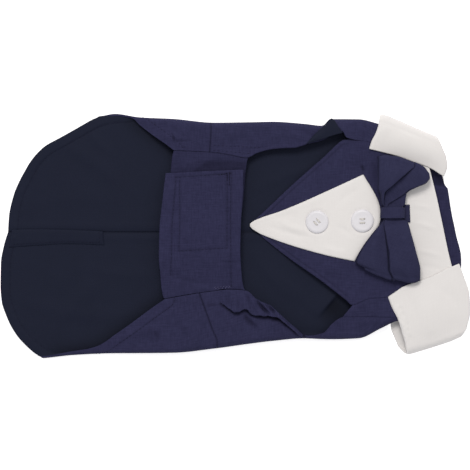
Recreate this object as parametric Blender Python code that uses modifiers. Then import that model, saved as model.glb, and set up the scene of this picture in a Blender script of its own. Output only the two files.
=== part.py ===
"""Small dog's tailcoat costume, laid flat with its belly side up.

The tails point to -X and the neck to +X; the dog's right side lies towards +Y. The back lies on the ground
plane with its lining up, the sides turn up at the two side folds and come back over the top. Every sheet is
an open grid of its outer face, worked out in millimetres, and Solidify gives it its wall.
"""

import math

import bpy
import numpy as np

MM = 0.001

# Driving sizes, in millimetres.
CLOTH = 1.2
SHIRT_CLOTH = 1.1
TAPE = 1.0
SEAM_GAP = 0.3
SEAM_Y = 2.2  # the centre-back seam
CHEST_APEX_TOP = 2.7
COLLAR_RISE = 11.0
COLLAR_PUFF = 1.6
STAND_RISE = 8.0
NECK_LIFT = 1.5  # the coat's neck lies on the collar's fall
BAND_TOP = NECK_LIFT + STAND_RISE
FLAP_SEAM_TOP = 8.0
UNDER_FLAP_TOP = 7.4
BOW_BASE = 11.4
BOW_CLOTH = 1.3
BUTTON_RADIUS = 7.5
BUTTON_DEPTH = 2.6
BUTTON_HOLE_RADIUS = 0.85
BUTTON_HOLE_PITCH = 1.75

NAVY = (0.030, 0.030, 0.065, 1)
LINING = (0.016, 0.018, 0.033, 1)
WHITE = (0.78, 0.75, 0.71, 1)
BOW_NAVY = (0.033, 0.033, 0.070, 1)
TAPE_NAVY = (0.020, 0.022, 0.045, 1)
RESIN = (0.72, 0.72, 0.74, 1)


def table(names, *rows):
    """One tuple for each section, with named columns."""
    return np.rec.fromrecords(rows, names=names.split())


# The two side folds: distance from the centre-back seam as seen from above, height of the fold, and how far
# the cloth is lifted.
FOLDS = table(
    "x right left rise_right rise_left lift",
    (-152.0, 78.0, 83.0, 3.4, 3.4, 0.0),
    (-125.0, 77.8, 80.8, 3.4, 3.4, 0.0),
    (-105.0, 77.2, 78.6, 3.4, 3.8, 0.0),
    (-80.0, 76.2, 77.8, 3.4, 4.6, 0.0),
    (-62.0, 74.0, 77.5, 4.6, 6.0, 0.0),
    (-40.0, 72.8, 77.4, 8.0, 8.0, 0.0),
    (-14.0, 69.6, 74.5, 8.0, 8.0, 0.0),
    (10.0, 70.9, 70.8, 8.0, 8.0, 0.0),
    (24.0, 71.4, 69.0, 8.0, 8.0, 0.0),
    (45.0, 69.4, 68.3, 8.0, 8.0, 0.0),
    (56.0, 68.6, 68.9, 8.0, 8.0, 0.0),
    (63.0, 73.2, 68.9, 8.0, 8.0, 0.0),
    (80.0, 72.8, 68.6, 8.0, 8.0, 0.0),
    (95.0, 69.6, 62.3, 8.0, 8.0, NECK_LIFT),
    (105.0, 67.6, 57.9, 8.0, 8.0, NECK_LIFT),
    (115.0, 66.0, 56.5, 8.0, 8.0, NECK_LIFT),
)

# The free edge of each side over the belly: belly seam, leg opening, then the seam to the chest.
EDGES = table(
    "x right left",
    (-46.0, 53.3, 43.5),
    (-16.0, 52.0, 38.6),
    (-7.0, 48.9, 37.4),
    (8.0, 48.2, 37.0),
    (17.2, 52.6, 44.3),
    (25.6, 54.0, 48.8),
    (38.6, 54.7, 59.5),
    (47.0, 57.2, 67.8),
    (56.8, 59.8, 65.6),
    (62.7, 63.0, 59.6),
    (69.2, 65.4, 55.4),
    (72.0, 61.3, 55.2),
    (86.0, 58.5, 55.2),
    (104.0, 56.0, 55.6),
)

# Where the tail's hem lies for each line of cloth along it. across: 0 centre-back, 1 foot of the side fold,
# 2 top of the fold, 3 belly seam.
HEM_RIGHT = table(
    "across x",
    (0.0, -147.4), (0.14, -146.7), (0.32, -144.0), (0.44, -140.1), (0.61, -131.7), (0.73, -123.9),
    (0.81, -112.8), (0.90, -100.5), (0.97, -91.4), (1.0, -87.0), (1.36, -79.5), (1.6, -70.5),
    (2.0, -65.4), (2.13, -62.8), (2.4, -55.6), (2.68, -47.8), (3.0, -40.0),
)
HEM_LEFT = table(
    "across x",
    (0.0, -147.4), (0.10, -149.9), (0.24, -151.8), (0.42, -152.2), (0.57, -150.5), (0.67, -147.3),
    (0.75, -143.4), (0.83, -138.2), (0.90, -133.6), (0.96, -129.1), (1.0, -126.6), (1.4, -124.2),
    (1.8, -120.0), (2.0, -115.0), (2.04, -97.0), (2.11, -88.1), (2.3, -78.4), (2.5, -68.6),
    (2.79, -55.6), (3.0, -45.9),
)
WAIST = table(
    "across right left",
    (0.0, -16.0, -16.0), (1.0, -14.7, -12.0), (2.0, -14.7, -11.8), (3.0, -15.3, -20.9),
)
NECK = table(
    "across right left",
    (0.0, 107.0, 107.0), (1.0, 104.0, 110.0), (2.0, 100.0, 110.0), (3.0, 99.0, 110.0),
)

# Lines of cloth that make the grids, counted as in the hem tables, and the body's stations along x.
TAIL_ROWS = (0.002, 0.1, 0.2, 0.3, 0.42, 0.54, 0.64, 0.73, 0.81, 0.88, 0.94, 1.0, 1.17, 1.33, 1.5, 1.67, 1.83,
             2.0, 2.05, 2.11, 2.3, 2.5, 2.75, 3.0)
TAIL_COLUMNS = 14
BODY_ROWS = (3.0, 2.75, 2.5, 2.25, 2.0, 1.83, 1.67, 1.5, 1.33, 1.17, 1.0, 0.75, 0.5, 0.25)
BODY_STATIONS = (-15, -4, 8, 17, 26, 34, 40, 45, 49, 53, 56, 59, 62, 66, 69.5, 72, 79, 86, 93, 100, 107)


def smooth(at, places, values):
    """Value on a curve through the points that never overshoots them."""
    places, values = np.asarray(places, float), np.asarray(values, float)
    slopes = np.diff(values) / np.diff(places)
    product = slopes[1:] * slopes[:-1]
    total = np.where(product > 0, slopes[1:] + slopes[:-1], 1.0)
    tangents = np.concatenate([slopes[:1], np.where(product > 0, 2 * product / total, 0.0), slopes[-1:]])
    at = min(max(at, places[0]), places[-1])
    i = int(np.clip(np.searchsorted(places, at) - 1, 0, len(slopes) - 1))
    step = places[i + 1] - places[i]
    t = (at - places[i]) / step
    rise = values[i] + t * t * (3 - 2 * t) * (values[i + 1] - values[i])
    return float(rise + step * t * (1 - t) * ((1 - t) * tangents[i] - t * tangents[i + 1]))


def mix(a, b, share):
    return a + share * (b - a)


def rail_points(sections, place, over):
    """Point between the near and the far rail of a ruled sheet."""
    places = np.arange(len(sections))
    near_x, near_y, far_x, far_y = (smooth(place, places, sections[key]) for key in sections.dtype.names[:4])
    return mix(near_x, far_x, over), mix(near_y, far_y, over)


def wrapped(across, far, radius, edge, out=0.0):
    """A cloth's outer face round one side fold, as distance from the centre and height.

    It lies flat up to the fold's foot, goes round a half circle and comes back over the top to `edge`.
    """
    foot = far - radius
    inset = far - edge
    if inset < radius:
        wrap = radius * (math.pi - math.asin((radius - inset) / radius))
    else:
        wrap = math.pi * radius + inset - radius
    arc = min(math.pi * radius, 0.85 * wrap)
    if across <= 1:
        return across * foot, -out
    past = (across - 1) * arc if across <= 2 else arc + (across - 2) * (wrap - arc)
    turn = past / radius
    if turn < math.pi:
        return foot + (radius + out) * math.sin(turn), radius - (radius + out) * math.cos(turn)
    return foot - (past - math.pi * radius), 2 * radius + out


def coat_point(side, x, across, out=0.0):
    """Point of the coat's outer face, moved out from it by `out`."""
    far = smooth(x, FOLDS.x, FOLDS[side])
    radius = smooth(x, FOLDS.x, FOLDS["rise_" + side]) / 2
    edge = smooth(x, EDGES.x, EDGES[side])
    y, z = wrapped(across, far, radius, edge, out)
    sign = 1 if side == "right" else -1
    return x, SEAM_Y + sign * y, smooth(x, FOLDS.x, FOLDS.lift) + z


def finish(name, paint, roughness=0.85):
    material = bpy.data.materials.new(name)
    material.use_nodes = True
    shader = material.node_tree.nodes["Principled BSDF"]
    shader.inputs["Base Color"].default_value = paint
    shader.inputs["Roughness"].default_value = roughness
    return material


def shell(name, grid, wall, paint):
    """A sheet from a grid of points of its outer face, with its wall behind it."""
    grid = np.asarray(grid, float)
    index = np.arange(grid.shape[0] * grid.shape[1]).reshape(grid.shape[:2])
    corners = (index[:-1, :-1], index[:-1, 1:], index[1:, 1:], index[1:, :-1])
    faces = np.stack(corners, axis=-1).reshape(-1, 4)
    mesh = bpy.data.meshes.new(name)
    mesh.from_pydata((grid.reshape(-1, 3) * MM).tolist(), [], faces.tolist())
    mesh.materials.append(finish(name + "_cloth", paint))
    mesh.shade_smooth()
    obj = bpy.data.objects.new(name, mesh)
    costume.objects.link(obj)
    solidify = obj.modifiers.new("wall", "SOLIDIFY")
    solidify.thickness = wall * MM
    solidify.offset = -1
    return obj


def panel(name, sections, height, wall, paint, steps=3, across=8, trim=None):
    """A sheet between two rails. Each section gives a point on the near rail and one on the far rail.

    height(x, y, along, over) gives its outer face, which looks up. trim(x, y, along, over) fits it to a seam.
    """
    last = len(sections) - 1
    grid = []
    for over in np.linspace(0, 1, across + 1):
        row = []
        for place in np.linspace(0, last, steps * last + 1):
            x, y = rail_points(sections, place, over)
            if trim:
                x, y = trim(x, y, place / last, over)
            row.append((x, y, height(x, y, place / last, over)))
        grid.append(row)
    shell(name, grid, wall, paint)


def tail(side):
    """One tail panel, from the centre-back seam round the side fold to the belly seam."""
    hem = HEM_RIGHT if side == "right" else HEM_LEFT
    grid = []
    for across in TAIL_ROWS:
        start = smooth(across, hem.across, hem.x)
        end = smooth(across, WAIST.across, WAIST[side]) - SEAM_GAP / 2
        grid.append([coat_point(side, x, across) for x in np.linspace(start, end, TAIL_COLUMNS)])
    shell("tail_" + side, grid[::-1] if side == "right" else grid, CLOTH, NAVY)


def body():
    """Back and sides in one sheet, from the waist seam to the neck."""
    rows = [("right", across) for across in BODY_ROWS] + [("left", 0.0)]
    rows += [("left", across) for across in reversed(BODY_ROWS)]
    first, last = BODY_STATIONS[0], BODY_STATIONS[-1]
    grid = []
    for side, across in rows:
        start = smooth(across, WAIST.across, WAIST[side]) + SEAM_GAP / 2
        end = smooth(across, NECK.across, NECK[side])
        stations = [mix(start, end, (x - first) / (last - first)) for x in BODY_STATIONS]
        grid.append([coat_point(side, x, across) for x in stations])
    shell("body", grid, CLOTH, NAVY)


def vent_facing():
    """The turned edge of the left tail panel, which laps over the right one at the vent."""
    sections = table(
        "near_x near_y far_x far_y",
        (-147.6, -7.9, -145.8, 3.6),
        (-130.0, -6.6, -130.0, 4.0),
        (-108.0, -5.6, -108.0, 3.6),
        (-85.5, -6.4, -86.5, 2.6),
    )
    panel("vent_facing", sections, lambda *_: CLOTH + SEAM_GAP + TAPE, TAPE, NAVY, steps=3, across=3)


CHEST_HEIGHTS = table(
    "x top",
    (11.0, CHEST_APEX_TOP), (22.0, 3.1), (40.0, 4.8), (60.0, 7.0),
    (71.0, 8.0), (82.0, 8.3), (95.0, 9.5), (118.0, 9.5),
)
CHEST_CROWN = 0.7
CROWN_ALONG = table("x share", (30.0, 0.0), (60.0, 1.0), (82.0, 1.0), (93.0, 0.0))
NECKLINE = table(
    "y x",
    (-50.0, 119.5), (-37.0, 117.3), (-25.7, 114.4), (-3.0, 109.6), (23.0, 106.8), (45.8, 105.4), (58.0, 104.6),
)


def chest_top(x, y):
    """The chest rises from the back's lining to the shoulders and is a little fuller along its middle."""
    middle_y, half_width = 8.0, 48.0
    full = max(0.0, 1 - ((y - middle_y) / half_width) ** 2)
    crown = CHEST_CROWN * full * smooth(x, CROWN_ALONG.x, CROWN_ALONG.share)
    return smooth(x, CHEST_HEIGHTS.x, CHEST_HEIGHTS.top) + crown


CHEST = table(
    "near_x near_y far_x far_y",
    (11.6, 5.0, 11.6, 9.4),
    (17.0, -0.6, 17.6, 14.6),
    (35.4, -15.3, 35.4, 31.5),
    (54.9, -29.0, 54.9, 48.8),
    (71.0, -41.4, 70.4, 62.0),
    (76.3, -45.2, 75.5, 61.9),
    (87.4, -41.0, 86.0, 60.1),
    (98.0, -40.3, 96.0, 58.4),
    (117.0, -38.4, 104.4, 57.2),
)


def chest_panel():
    """The navy V between the shoulders. Its last section is bent to the neckline."""
    bent_from = 1 - 1 / (len(CHEST) - 1)

    def to_neckline(x, y, along, _):
        bend = smooth(along, (0, bent_from, 1), (0, 0, 1))
        return mix(x, smooth(y, NECKLINE.y, NECKLINE.x) - SEAM_GAP / 2, bend), y

    def crowned(x, y, *_):
        return chest_top(x, y)

    panel("chest_panel", CHEST, crowned, CLOTH, NAVY, trim=to_neckline)


def shoulder_left():
    """Runs from the seam on the body's edge up to the seam on the chest."""
    seam_start, seam_end = 69.5, 108.5
    chest_seam = table("along section", (0.0, 4.55), (0.17, 5.1), (0.4, 5.8), (0.7, 6.9), (1.0, 7.6))
    gap = 1.6 * SEAM_GAP
    grid = []
    for over in np.linspace(0, 1, 5):
        row = []
        for along in np.linspace(0, 1, 12):
            x, y, z = coat_point("left", mix(seam_start, seam_end, along), 3.0)
            section = smooth(along, chest_seam.along, chest_seam.section)
            chest_x, chest_y = rail_points(CHEST, section, 0.0)
            top = chest_top(chest_x, chest_y)
            row.append((mix(x, chest_x, over), mix(y + gap, chest_y - gap, over), mix(z, top, over)))
        grid.append(row)
    shell("shoulder_left", grid, CLOTH, NAVY)


def shirt_top(x, y):
    return chest_top(x, y) + SEAM_GAP + SHIRT_CLOTH


def shirt_front():
    """The shirt front's kite, with its end under the bow rounded out."""
    bulge, straight_to = 12.5, 0.83
    sections = table(
        "near_x near_y far_x far_y",
        (9.4, 6.4, 9.4, 8.6),
        (11.0, 4.6, 11.6, 11.2),
        (16.0, 2.0, 18.0, 14.2),
        (28.0, -2.2, 28.0, 17.8),
        (42.0, -7.5, 42.0, 23.6),
        (61.0, -12.7, 61.0, 31.4),
        (77.0, -16.0, 82.8, 40.4),
    )

    def rounded_end(x, y, along, over):
        out = bulge * smooth(along, (0, straight_to, 1), (0, 0, 1))
        return x + out * math.sin(math.pi * over) ** 0.8, y

    def on_chest(x, y, *_):
        return shirt_top(x, y)

    panel("shirt_front", sections, on_chest, SHIRT_CLOTH, WHITE, steps=2, across=10, trim=rounded_end)


def leg_hem_right():
    """Edge of the right leg opening, turned back over the side: its lining looks up."""
    sections = table(
        "near_x near_y far_x far_y",
        (45.8, 59.2, 46.6, 60.2),
        (51.0, 60.9, 50.6, 64.6),
        (57.0, 62.8, 56.4, 70.2),
        (64.0, 65.2, 62.4, 75.6),
        (69.6, 66.7, 67.8, 68.8),
    )
    top = FOLDS.rise_right.max() + SEAM_GAP + CLOTH
    panel("leg_hem_right", sections, lambda *_: top, CLOTH, LINING, steps=3, across=4)


def leg_hem_left():
    """Turned hem band of the left leg opening, gathered into soft puckers."""
    # Where the band's free side lies on the coat, counted as in HEM_LEFT.
    free_side = table(
        "x across",
        (-6.0, 2.6), (0.0, 2.52), (7.0, 2.42), (15.0, 2.38), (24.0, 2.38), (34.0, 2.44), (43.5, 2.5),
    )
    puckers, pucker_rise = 7, 0.45
    grid = []
    for inward in np.linspace(0.0, 1.0, 5):
        row = []
        for along in np.linspace(0.0, 1.0, 30):
            x = mix(free_side.x[0], free_side.x[-1], along)
            across = mix(3.0, smooth(x, free_side.x, free_side.across), inward)
            pucker = math.sin(math.pi * puckers * along) ** 2 * math.sin(math.pi * (0.15 + 0.7 * inward))
            row.append(coat_point("left", x, across, SEAM_GAP + CLOTH + pucker_rise * pucker))
        grid.append(row)
    shell("leg_hem_left", grid[::-1], CLOTH, NAVY)


def belly_flaps():
    """The right flap lies under the left one, with the hook-and-loop tapes between them."""
    hook_top = UNDER_FLAP_TOP + 2 * (SEAM_GAP + TAPE)
    over_top = hook_top + SEAM_GAP + CLOTH

    under = table(
        "near_x near_y far_x far_y",
        (-39.8, 54.6, 8.2, 49.7),
        (-42.0, 41.4, 6.4, 41.4),
        (-42.6, 23.0, 5.0, 23.0),
        (-43.2, 3.5, 2.4, 3.5),
        (-43.2, -13.2, 1.6, -13.2),
    )

    def under_seam(x, y, along, _):
        seam = SEAM_Y + smooth(x, EDGES.x, EDGES.right) - SEAM_GAP
        return x, mix(seam, y, smooth(along, (0.0, 0.2), (0, 1)))

    def under_face(x, y, *_):
        return mix(UNDER_FLAP_TOP, FLAP_SEAM_TOP, smooth(y, (40.0, 50.0), (0, 1)))

    panel("belly_flap_right", under, under_face, CLOTH, NAVY, steps=3, across=6, trim=under_seam)

    over = table(
        "near_x near_y far_x far_y",
        (-45.2, 42.4, 4.9, 42.4),
        (-47.2, 23.4, 4.8, 29.5),
        (-49.2, 3.5, 3.4, 10.0),
        (-49.6, -13.0, 2.9, -9.8),
        (-48.6, -26.0, 3.4, -19.4),
        (-46.2, -40.6, 6.0, -34.4),
    )

    def over_seam(x, y, along, _):
        seam = SEAM_Y - smooth(x, EDGES.x, EDGES.left) + SEAM_GAP
        return x, mix(y, seam, smooth(along, (0.8, 1.0), (0, 1)))

    def over_face(x, y, along, _):
        low = smooth(along, (0.0, 0.08, 0.6, 0.7, 0.94, 1.0), (0.06, 0.0, 0.0, 0.12, 0.94, 1.0))
        return mix(over_top, FLAP_SEAM_TOP, low)

    panel("belly_flap_left", over, over_face, CLOTH, NAVY, steps=3, across=6, trim=over_seam)

    tape = table("near_x near_y far_x far_y", (-36.6, 38.8, -4.2, 38.8), (-36.6, -9.4, -4.2, -9.4))
    level = UNDER_FLAP_TOP
    for name in ("loop_patch", "hook_patch"):
        level += SEAM_GAP + TAPE
        panel(name, tape, lambda *_, level=level: level, TAPE, TAPE_NAVY, steps=2, across=2)


COLLAR = table(
    "share right left right_front left_front",
    (0.0, 76.0, 78.6, 54.0, 42.2),
    (0.2, 73.0, 76.7, 51.6, 35.9),
    (0.4, 70.0, 74.7, 49.0, 32.2),
    (0.6, 67.0, 72.4, 45.4, 29.2),
    (0.8, 64.5, 70.0, 42.0, 24.6),
    (1.0, 61.8, 67.6, 36.2, 20.8),
)

# The collar's outer edge and its fold at the neck, from the right wing round the back to the left wing.
COLLAR_LINES = table(
    "across style_x fold_x",
    (-3.0, 86.8, 134.9), (-2.7, 88.4, 137.0), (-2.4, 91.0, 136.4), (-2.0, 94.0, 133.2), (-1.5, 95.8, 130.8),
    (-1.0, 97.0, 132.8), (-0.5, 99.0, 136.4), (0.0, 99.7, 142.4), (0.5, 100.0, 146.0), (0.84, 101.0, 146.4),
    (1.0, 104.6, 146.0), (1.5, 112.0, 146.0), (2.0, 110.6, 148.6), (2.3, 108.0, 151.7), (2.55, 105.4, 152.1),
    (2.8, 101.4, 148.8), (3.0, 99.0, 144.8),
)


def collar_fall():
    """The turned-down collar: flat under the coat's neck, up round both sides, and its wings on top."""
    radius = COLLAR_RISE / 2
    half = (3, 2.8, 2.6, 2.4, 2.2, 2, 1.8, 1.6, 1.4, 1.2, 1, 0.7, 0.35)
    rows = [side * across for side in (-1, 1) for across in half]
    grid = []
    for across in sorted(rows + [0.0]):
        side = "right" if across < 0 else "left"
        sign = 1 if side == "right" else -1
        row = []
        for share in np.linspace(0, 1, 9):
            far = smooth(share, COLLAR.share, COLLAR[side])
            front = smooth(share, COLLAR.share, COLLAR[side + "_front"])
            y, z = wrapped(abs(across), far, radius, front)
            style = smooth(across, COLLAR_LINES.across, COLLAR_LINES.style_x)
            fold = smooth(across, COLLAR_LINES.across, COLLAR_LINES.fold_x)
            over = min(max(abs(across) - 2, 0), 1)
            puff = COLLAR_PUFF * math.sin(math.pi * over) * math.sin(math.pi * mix(0.08, 0.92, share))
            row.append((mix(style, fold, share), SEAM_Y + sign * y, z + puff))
        grid.append(row)
    shell("collar_fall", grid, CLOTH, WHITE)


STAND = table("share right left", (0.0, 66.4, 56.4), (0.5, 63.6, 55.9), (1.0, 58.6, 55.4))
FACING_EDGE = table(
    "across x",
    (-3.0, 126.0), (-2.0, 126.5), (-1.5, 127.0), (-1.0, 130.0), (-0.5, 137.4), (-0.25, 140.7),
    (0.0, 143.6), (0.35, 146.5), (1.0, 145.0), (1.5, 143.8), (2.0, 143.2), (3.0, 143.0),
)


def stand_far(side, share):
    return smooth(share, STAND.share, STAND[side])


def neck_facing():
    """Inside of the collar's stand at the back of the neck, turned up at both sides."""
    radius = STAND_RISE / 2
    side_gap = 1.6  # the two sheets turn up round unlike folds here
    rows = [side * across for side in (-1, 1) for across in (2.0, 1.8, 1.6, 1.4, 1.2, 1.0, 0.7, 0.35)]
    grid = []
    for across in sorted(rows + [0.0]):
        side = "right" if across < 0 else "left"
        sign = 1 if side == "right" else -1
        gap = smooth(abs(across), (0.0, 1.0, 2.0), (SEAM_GAP, side_gap, side_gap))
        start = smooth(abs(across), NECK.across, NECK[side]) + gap
        end = smooth(across, FACING_EDGE.across, FACING_EDGE.x)
        row = []
        for share in np.linspace(0, 1, 7):
            far = stand_far(side, share)
            y, z = wrapped(abs(across), far, radius, far - radius)
            row.append((mix(start, end, share), SEAM_Y + sign * y, NECK_LIFT + z))
        grid.append(row)
    shell("neck_facing", grid, CLOTH, NAVY)


def collar_band():
    """White front of the stand, between the chest's neckline and the front of the neck opening."""
    edges = table(
        "y top_x",
        (-48.5, 143.0), (-42.0, 142.8), (-25.7, 141.2), (-9.5, 137.6),
        (8.7, 133.8), (26.3, 130.0), (45.1, 125.2), (57.0, 122.0),
    )
    grid = []
    for y in np.linspace(edges.y[0], edges.y[-1], 13):
        start, end = smooth(y, NECKLINE.y, NECKLINE.x) + SEAM_GAP / 2, smooth(y, edges.y, edges.top_x)
        grid.append([(x, y, BAND_TOP) for x in np.linspace(start, end, 5)])
    shell("collar_band", grid, CLOTH, WHITE)


def bow_wing(side, sections, bulge, top_lobe):
    """One loop of the bow: a bottom layer out to the end, round a fold, and a pleated top layer back.

    Each section crosses the loop, from the knot outwards. `fold` and `tuck` are where its two pleats cross it, as
    shares of its width, and `fold_drop` and `tuck_drop` how far the cloth steps down there. The end bows out by
    `bulge`, and `top_lobe` is 1 where the lobe before the fold lies on top and -1 where it lies beneath.
    """
    edge_drop, pleat_softness, least_height = 0.32, 0.012, 2.9
    places = np.arange(len(sections))
    outward = np.array([0.0, 1.0]) if side == "right" else np.array([-0.12, -1.0])
    # Rows keep their share of the lobes, so that each pleat runs along two rows.
    rows = (0.0, 0.07, 0.17, 0.27, 0.318, 0.348, 0.43, 0.53, 0.61, 0.652, 0.682, 0.77, 0.87, 0.94, 1.0)

    def plan(row, place):
        pleats = [smooth(place, places, sections[key]) for key in ("fold", "tuck")]
        over = np.interp(row, (0, 1 / 3, 2 / 3, 1), (0, *pleats, 1))
        x, y = rail_points(sections, place, over)
        out = bulge * math.sin(math.pi * over) * (place / places[-1]) ** 3
        return x + outward[0] * out, y + outward[1] * out

    def rise(row, place):
        height = smooth(place, places, sections.height)
        past_fold = 0.5 + 0.5 * top_lobe * math.tanh((row - 1 / 3) / pleat_softness)
        past_tuck = 0.5 + 0.5 * math.tanh((row - 2 / 3) / pleat_softness)
        drop = smooth(place, places, sections.fold_drop) * past_fold
        drop += smooth(place, places, sections.tuck_drop) * past_tuck
        near_edge = 1 - min(row * 6, (1 - row) * 6, 1.0)
        return max(least_height, height * (1 - edge_drop * near_edge**2 - drop))

    grid = []
    for row_share in rows:
        row = [(*plan(row_share, place), BOW_BASE) for place in np.linspace(0, places[-1], 9)]
        x, y = plan(row_share, places[-1])
        half = rise(row_share, places[-1]) / 2
        for turn in np.linspace(0, math.pi, 6)[1:-1]:
            reach = outward * half * math.sin(turn)
            row.append((x + reach[0], y + reach[1], BOW_BASE + half * (1 - math.cos(turn))))
        for place in np.linspace(places[-1], 0, 13):
            row.append((*plan(row_share, place), BOW_BASE + rise(row_share, place)))
        grid.append(row)
    shell("bow_wing_" + side, grid if side == "right" else grid[::-1], BOW_CLOTH, BOW_NAVY)


def bow():
    right = table(
        "left_x left_y right_x right_y height fold tuck fold_drop tuck_drop",
        (96.0, 15.0, 107.4, 15.0, 4.8, 0.12, 0.26, 0.0, 0.0),
        (95.6, 18.3, 107.9, 18.3, 5.0, 0.12, 0.22, 0.1, 0.1),
        (94.6, 20.6, 109.3, 20.2, 5.8, 0.12, 0.30, 0.2, 0.2),
        (93.9, 26.4, 110.6, 27.2, 7.8, 0.17, 0.95, 0.28, 0.2),
        (92.0, 30.5, 116.4, 31.0, 9.2, 0.41, 0.96, 0.3, 0.0),
        (91.9, 39.0, 121.6, 33.6, 9.6, 0.57, 0.96, 0.3, 0.0),
        (92.0, 48.4, 123.6, 36.0, 6.6, 0.72, 0.96, 0.3, 0.0),
    )
    left = table(
        "left_x left_y right_x right_y height fold tuck fold_drop tuck_drop",
        (96.0, 14.2, 107.4, 14.2, 4.8, 0.07, 0.60, 0.0, 0.0),
        (95.8, 10.9, 107.9, 10.9, 5.0, 0.07, 0.60, 0.1, 0.0),
        (94.8, 8.6, 111.0, 9.0, 5.8, 0.08, 0.60, 0.2, 0.0),
        (89.0, 1.6, 112.8, 0.6, 9.4, 0.32, 0.70, 0.28, 0.0),
        (82.0, -8.0, 115.8, -12.0, 10.0, 0.50, 0.78, 0.3, 0.0),
        (78.4, -15.6, 118.0, -22.0, 8.6, 0.56, 0.80, 0.3, 0.0),
        (82.6, -21.6, 117.8, -27.8, 5.6, 0.54, 0.80, 0.3, 0.0),
    )
    bow_wing("right", right, 3.8, 1)
    bow_wing("left", left, 1.0, -1)

    # The knot is a strip of cloth over the pinched middle of the loops.
    knot_x, half_width, height, squareness, slant = 101.7, 7.9, 9.4, 0.62, 0.03
    top_y, bottom_y = 17.9, 11.2
    grid = []
    for turn in np.linspace(0, math.pi, 15):
        reach, rise = -math.cos(turn), math.sin(turn)
        x = knot_x + half_width * math.copysign(abs(reach) ** squareness, reach)
        z = BAND_TOP + 2 * SEAM_GAP + height * abs(rise) ** squareness
        lines = np.linspace(top_y, bottom_y, 5)
        grid.append([(x + slant * (y - (top_y + bottom_y) / 2), y, z) for y in lines])
    shell("bow_knot", grid, CLOTH, BOW_NAVY)

    tab = table("near_x near_y far_x far_y", (110.1, 9.0, 110.1, 19.6), (112.9, 8.6, 112.9, 19.6))
    panel("bow_tab", tab, lambda *_: BAND_TOP + SEAM_GAP + TAPE, TAPE, BOW_NAVY, steps=2, across=2)


def button(name, x, y, quarter):
    """A dished four-hole button: a turned profile, drilled, and laid on the slope of the shirt front."""
    rim = BUTTON_RADIUS
    profile = (
        (0.0, 1.7), (4.4, 1.7), (5.2, BUTTON_DEPTH - 0.1), (6.6, BUTTON_DEPTH), (rim - 0.3, 2.1), (rim, 1.5),
        (rim - 0.4, 0.6), (5.4, 0.0), (0.0, 0.0),
    )
    outline = bpy.data.meshes.new(name + "_profile")
    edges = [(i, i + 1) for i in range(len(profile) - 1)]
    outline.from_pydata([(r * MM, 0, z * MM) for r, z in profile], edges, [])
    obj = bpy.data.objects.new(name, outline)
    outline.materials.append(finish(name + "_resin", RESIN, 0.2))
    costume.objects.link(obj)
    screw = obj.modifiers.new("turn", "SCREW")
    screw.steps = screw.render_steps = 28
    screw.use_merge_vertices = True
    screw.merge_threshold = 0.00001
    for hole in range(4):
        angle = math.pi / 2 * hole + quarter
        bpy.ops.mesh.primitive_cylinder_add(vertices=10, radius=BUTTON_HOLE_RADIUS * MM, depth=8 * MM)
        cutter = bpy.context.object
        cutter.name = f"{name}_hole_{hole}"
        cutter.location = (
            BUTTON_HOLE_PITCH * math.cos(angle) * MM,
            BUTTON_HOLE_PITCH * math.sin(angle) * MM,
            BUTTON_DEPTH / 2 * MM,
        )
        cutter.parent = obj
        cutter.hide_render = True
        cutter.display_type = "WIRE"
        for owner in list(cutter.users_collection):
            owner.objects.unlink(cutter)
        cutters.objects.link(cutter)
        drill = obj.modifiers.new("hole", "BOOLEAN")
        drill.operation = "DIFFERENCE"
        drill.object = cutter
    low, high = shirt_top(x - rim, y), shirt_top(x + rim, y)
    crown = max(0.0, shirt_top(x, y) - (low + high) / 2)
    slope = math.atan2(high - low, 2 * rim)
    obj.rotation_euler = (0, -slope, 0)
    obj.location = (x * MM, y * MM, ((low + high) / 2 + crown + SEAM_GAP) * MM)


for old in list(bpy.data.objects):
    bpy.data.objects.remove(old, do_unlink=True)
costume = bpy.data.collections.new("dog_tailcoat_costume")
cutters = bpy.data.collections.new("cutters")
bpy.context.scene.collection.children.link(costume)
bpy.context.scene.collection.children.link(cutters)

tail("right")
tail("left")
body()
vent_facing()
chest_panel()
shoulder_left()
shirt_front()
leg_hem_right()
leg_hem_left()
belly_flaps()
collar_fall()
neck_facing()
collar_band()
bow()
button("button_lower", 52.9, 8.7, 0.0)
button("button_upper", 82.2, 9.4, math.pi / 4)
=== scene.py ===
"""Looks of a small dog's tailcoat costume, laid flat on its back with the belly side up.

The tails point to -X and the neck to +X; the dog's right side lies towards +Y. Sizes of the cloth are in
millimetres and become metres in the meshes.
"""

import math

import bpy
import numpy as np
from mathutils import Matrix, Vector
from mathutils.bvhtree import BVHTree


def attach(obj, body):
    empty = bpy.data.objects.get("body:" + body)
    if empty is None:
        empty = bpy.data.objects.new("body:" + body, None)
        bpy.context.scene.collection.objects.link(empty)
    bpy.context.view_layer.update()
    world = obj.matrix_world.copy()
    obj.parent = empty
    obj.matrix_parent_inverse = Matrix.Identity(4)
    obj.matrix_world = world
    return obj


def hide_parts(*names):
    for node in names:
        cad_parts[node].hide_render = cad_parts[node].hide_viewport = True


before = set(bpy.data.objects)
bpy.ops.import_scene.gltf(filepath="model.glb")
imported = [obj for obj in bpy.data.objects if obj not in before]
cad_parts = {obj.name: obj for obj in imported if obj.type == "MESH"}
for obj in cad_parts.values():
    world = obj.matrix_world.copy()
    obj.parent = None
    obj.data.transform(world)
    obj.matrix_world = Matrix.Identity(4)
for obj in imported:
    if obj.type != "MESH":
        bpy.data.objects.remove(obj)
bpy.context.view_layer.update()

# ---------------------------------------------------------------------------------------------------------------
# Studio. A pale lit floor in a bright room, a large soft box towards the dog's right side, and a camera straight
# above with a long lens, so that the tall bow and collar stay where a flat view shows them.
# ---------------------------------------------------------------------------------------------------------------


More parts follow.
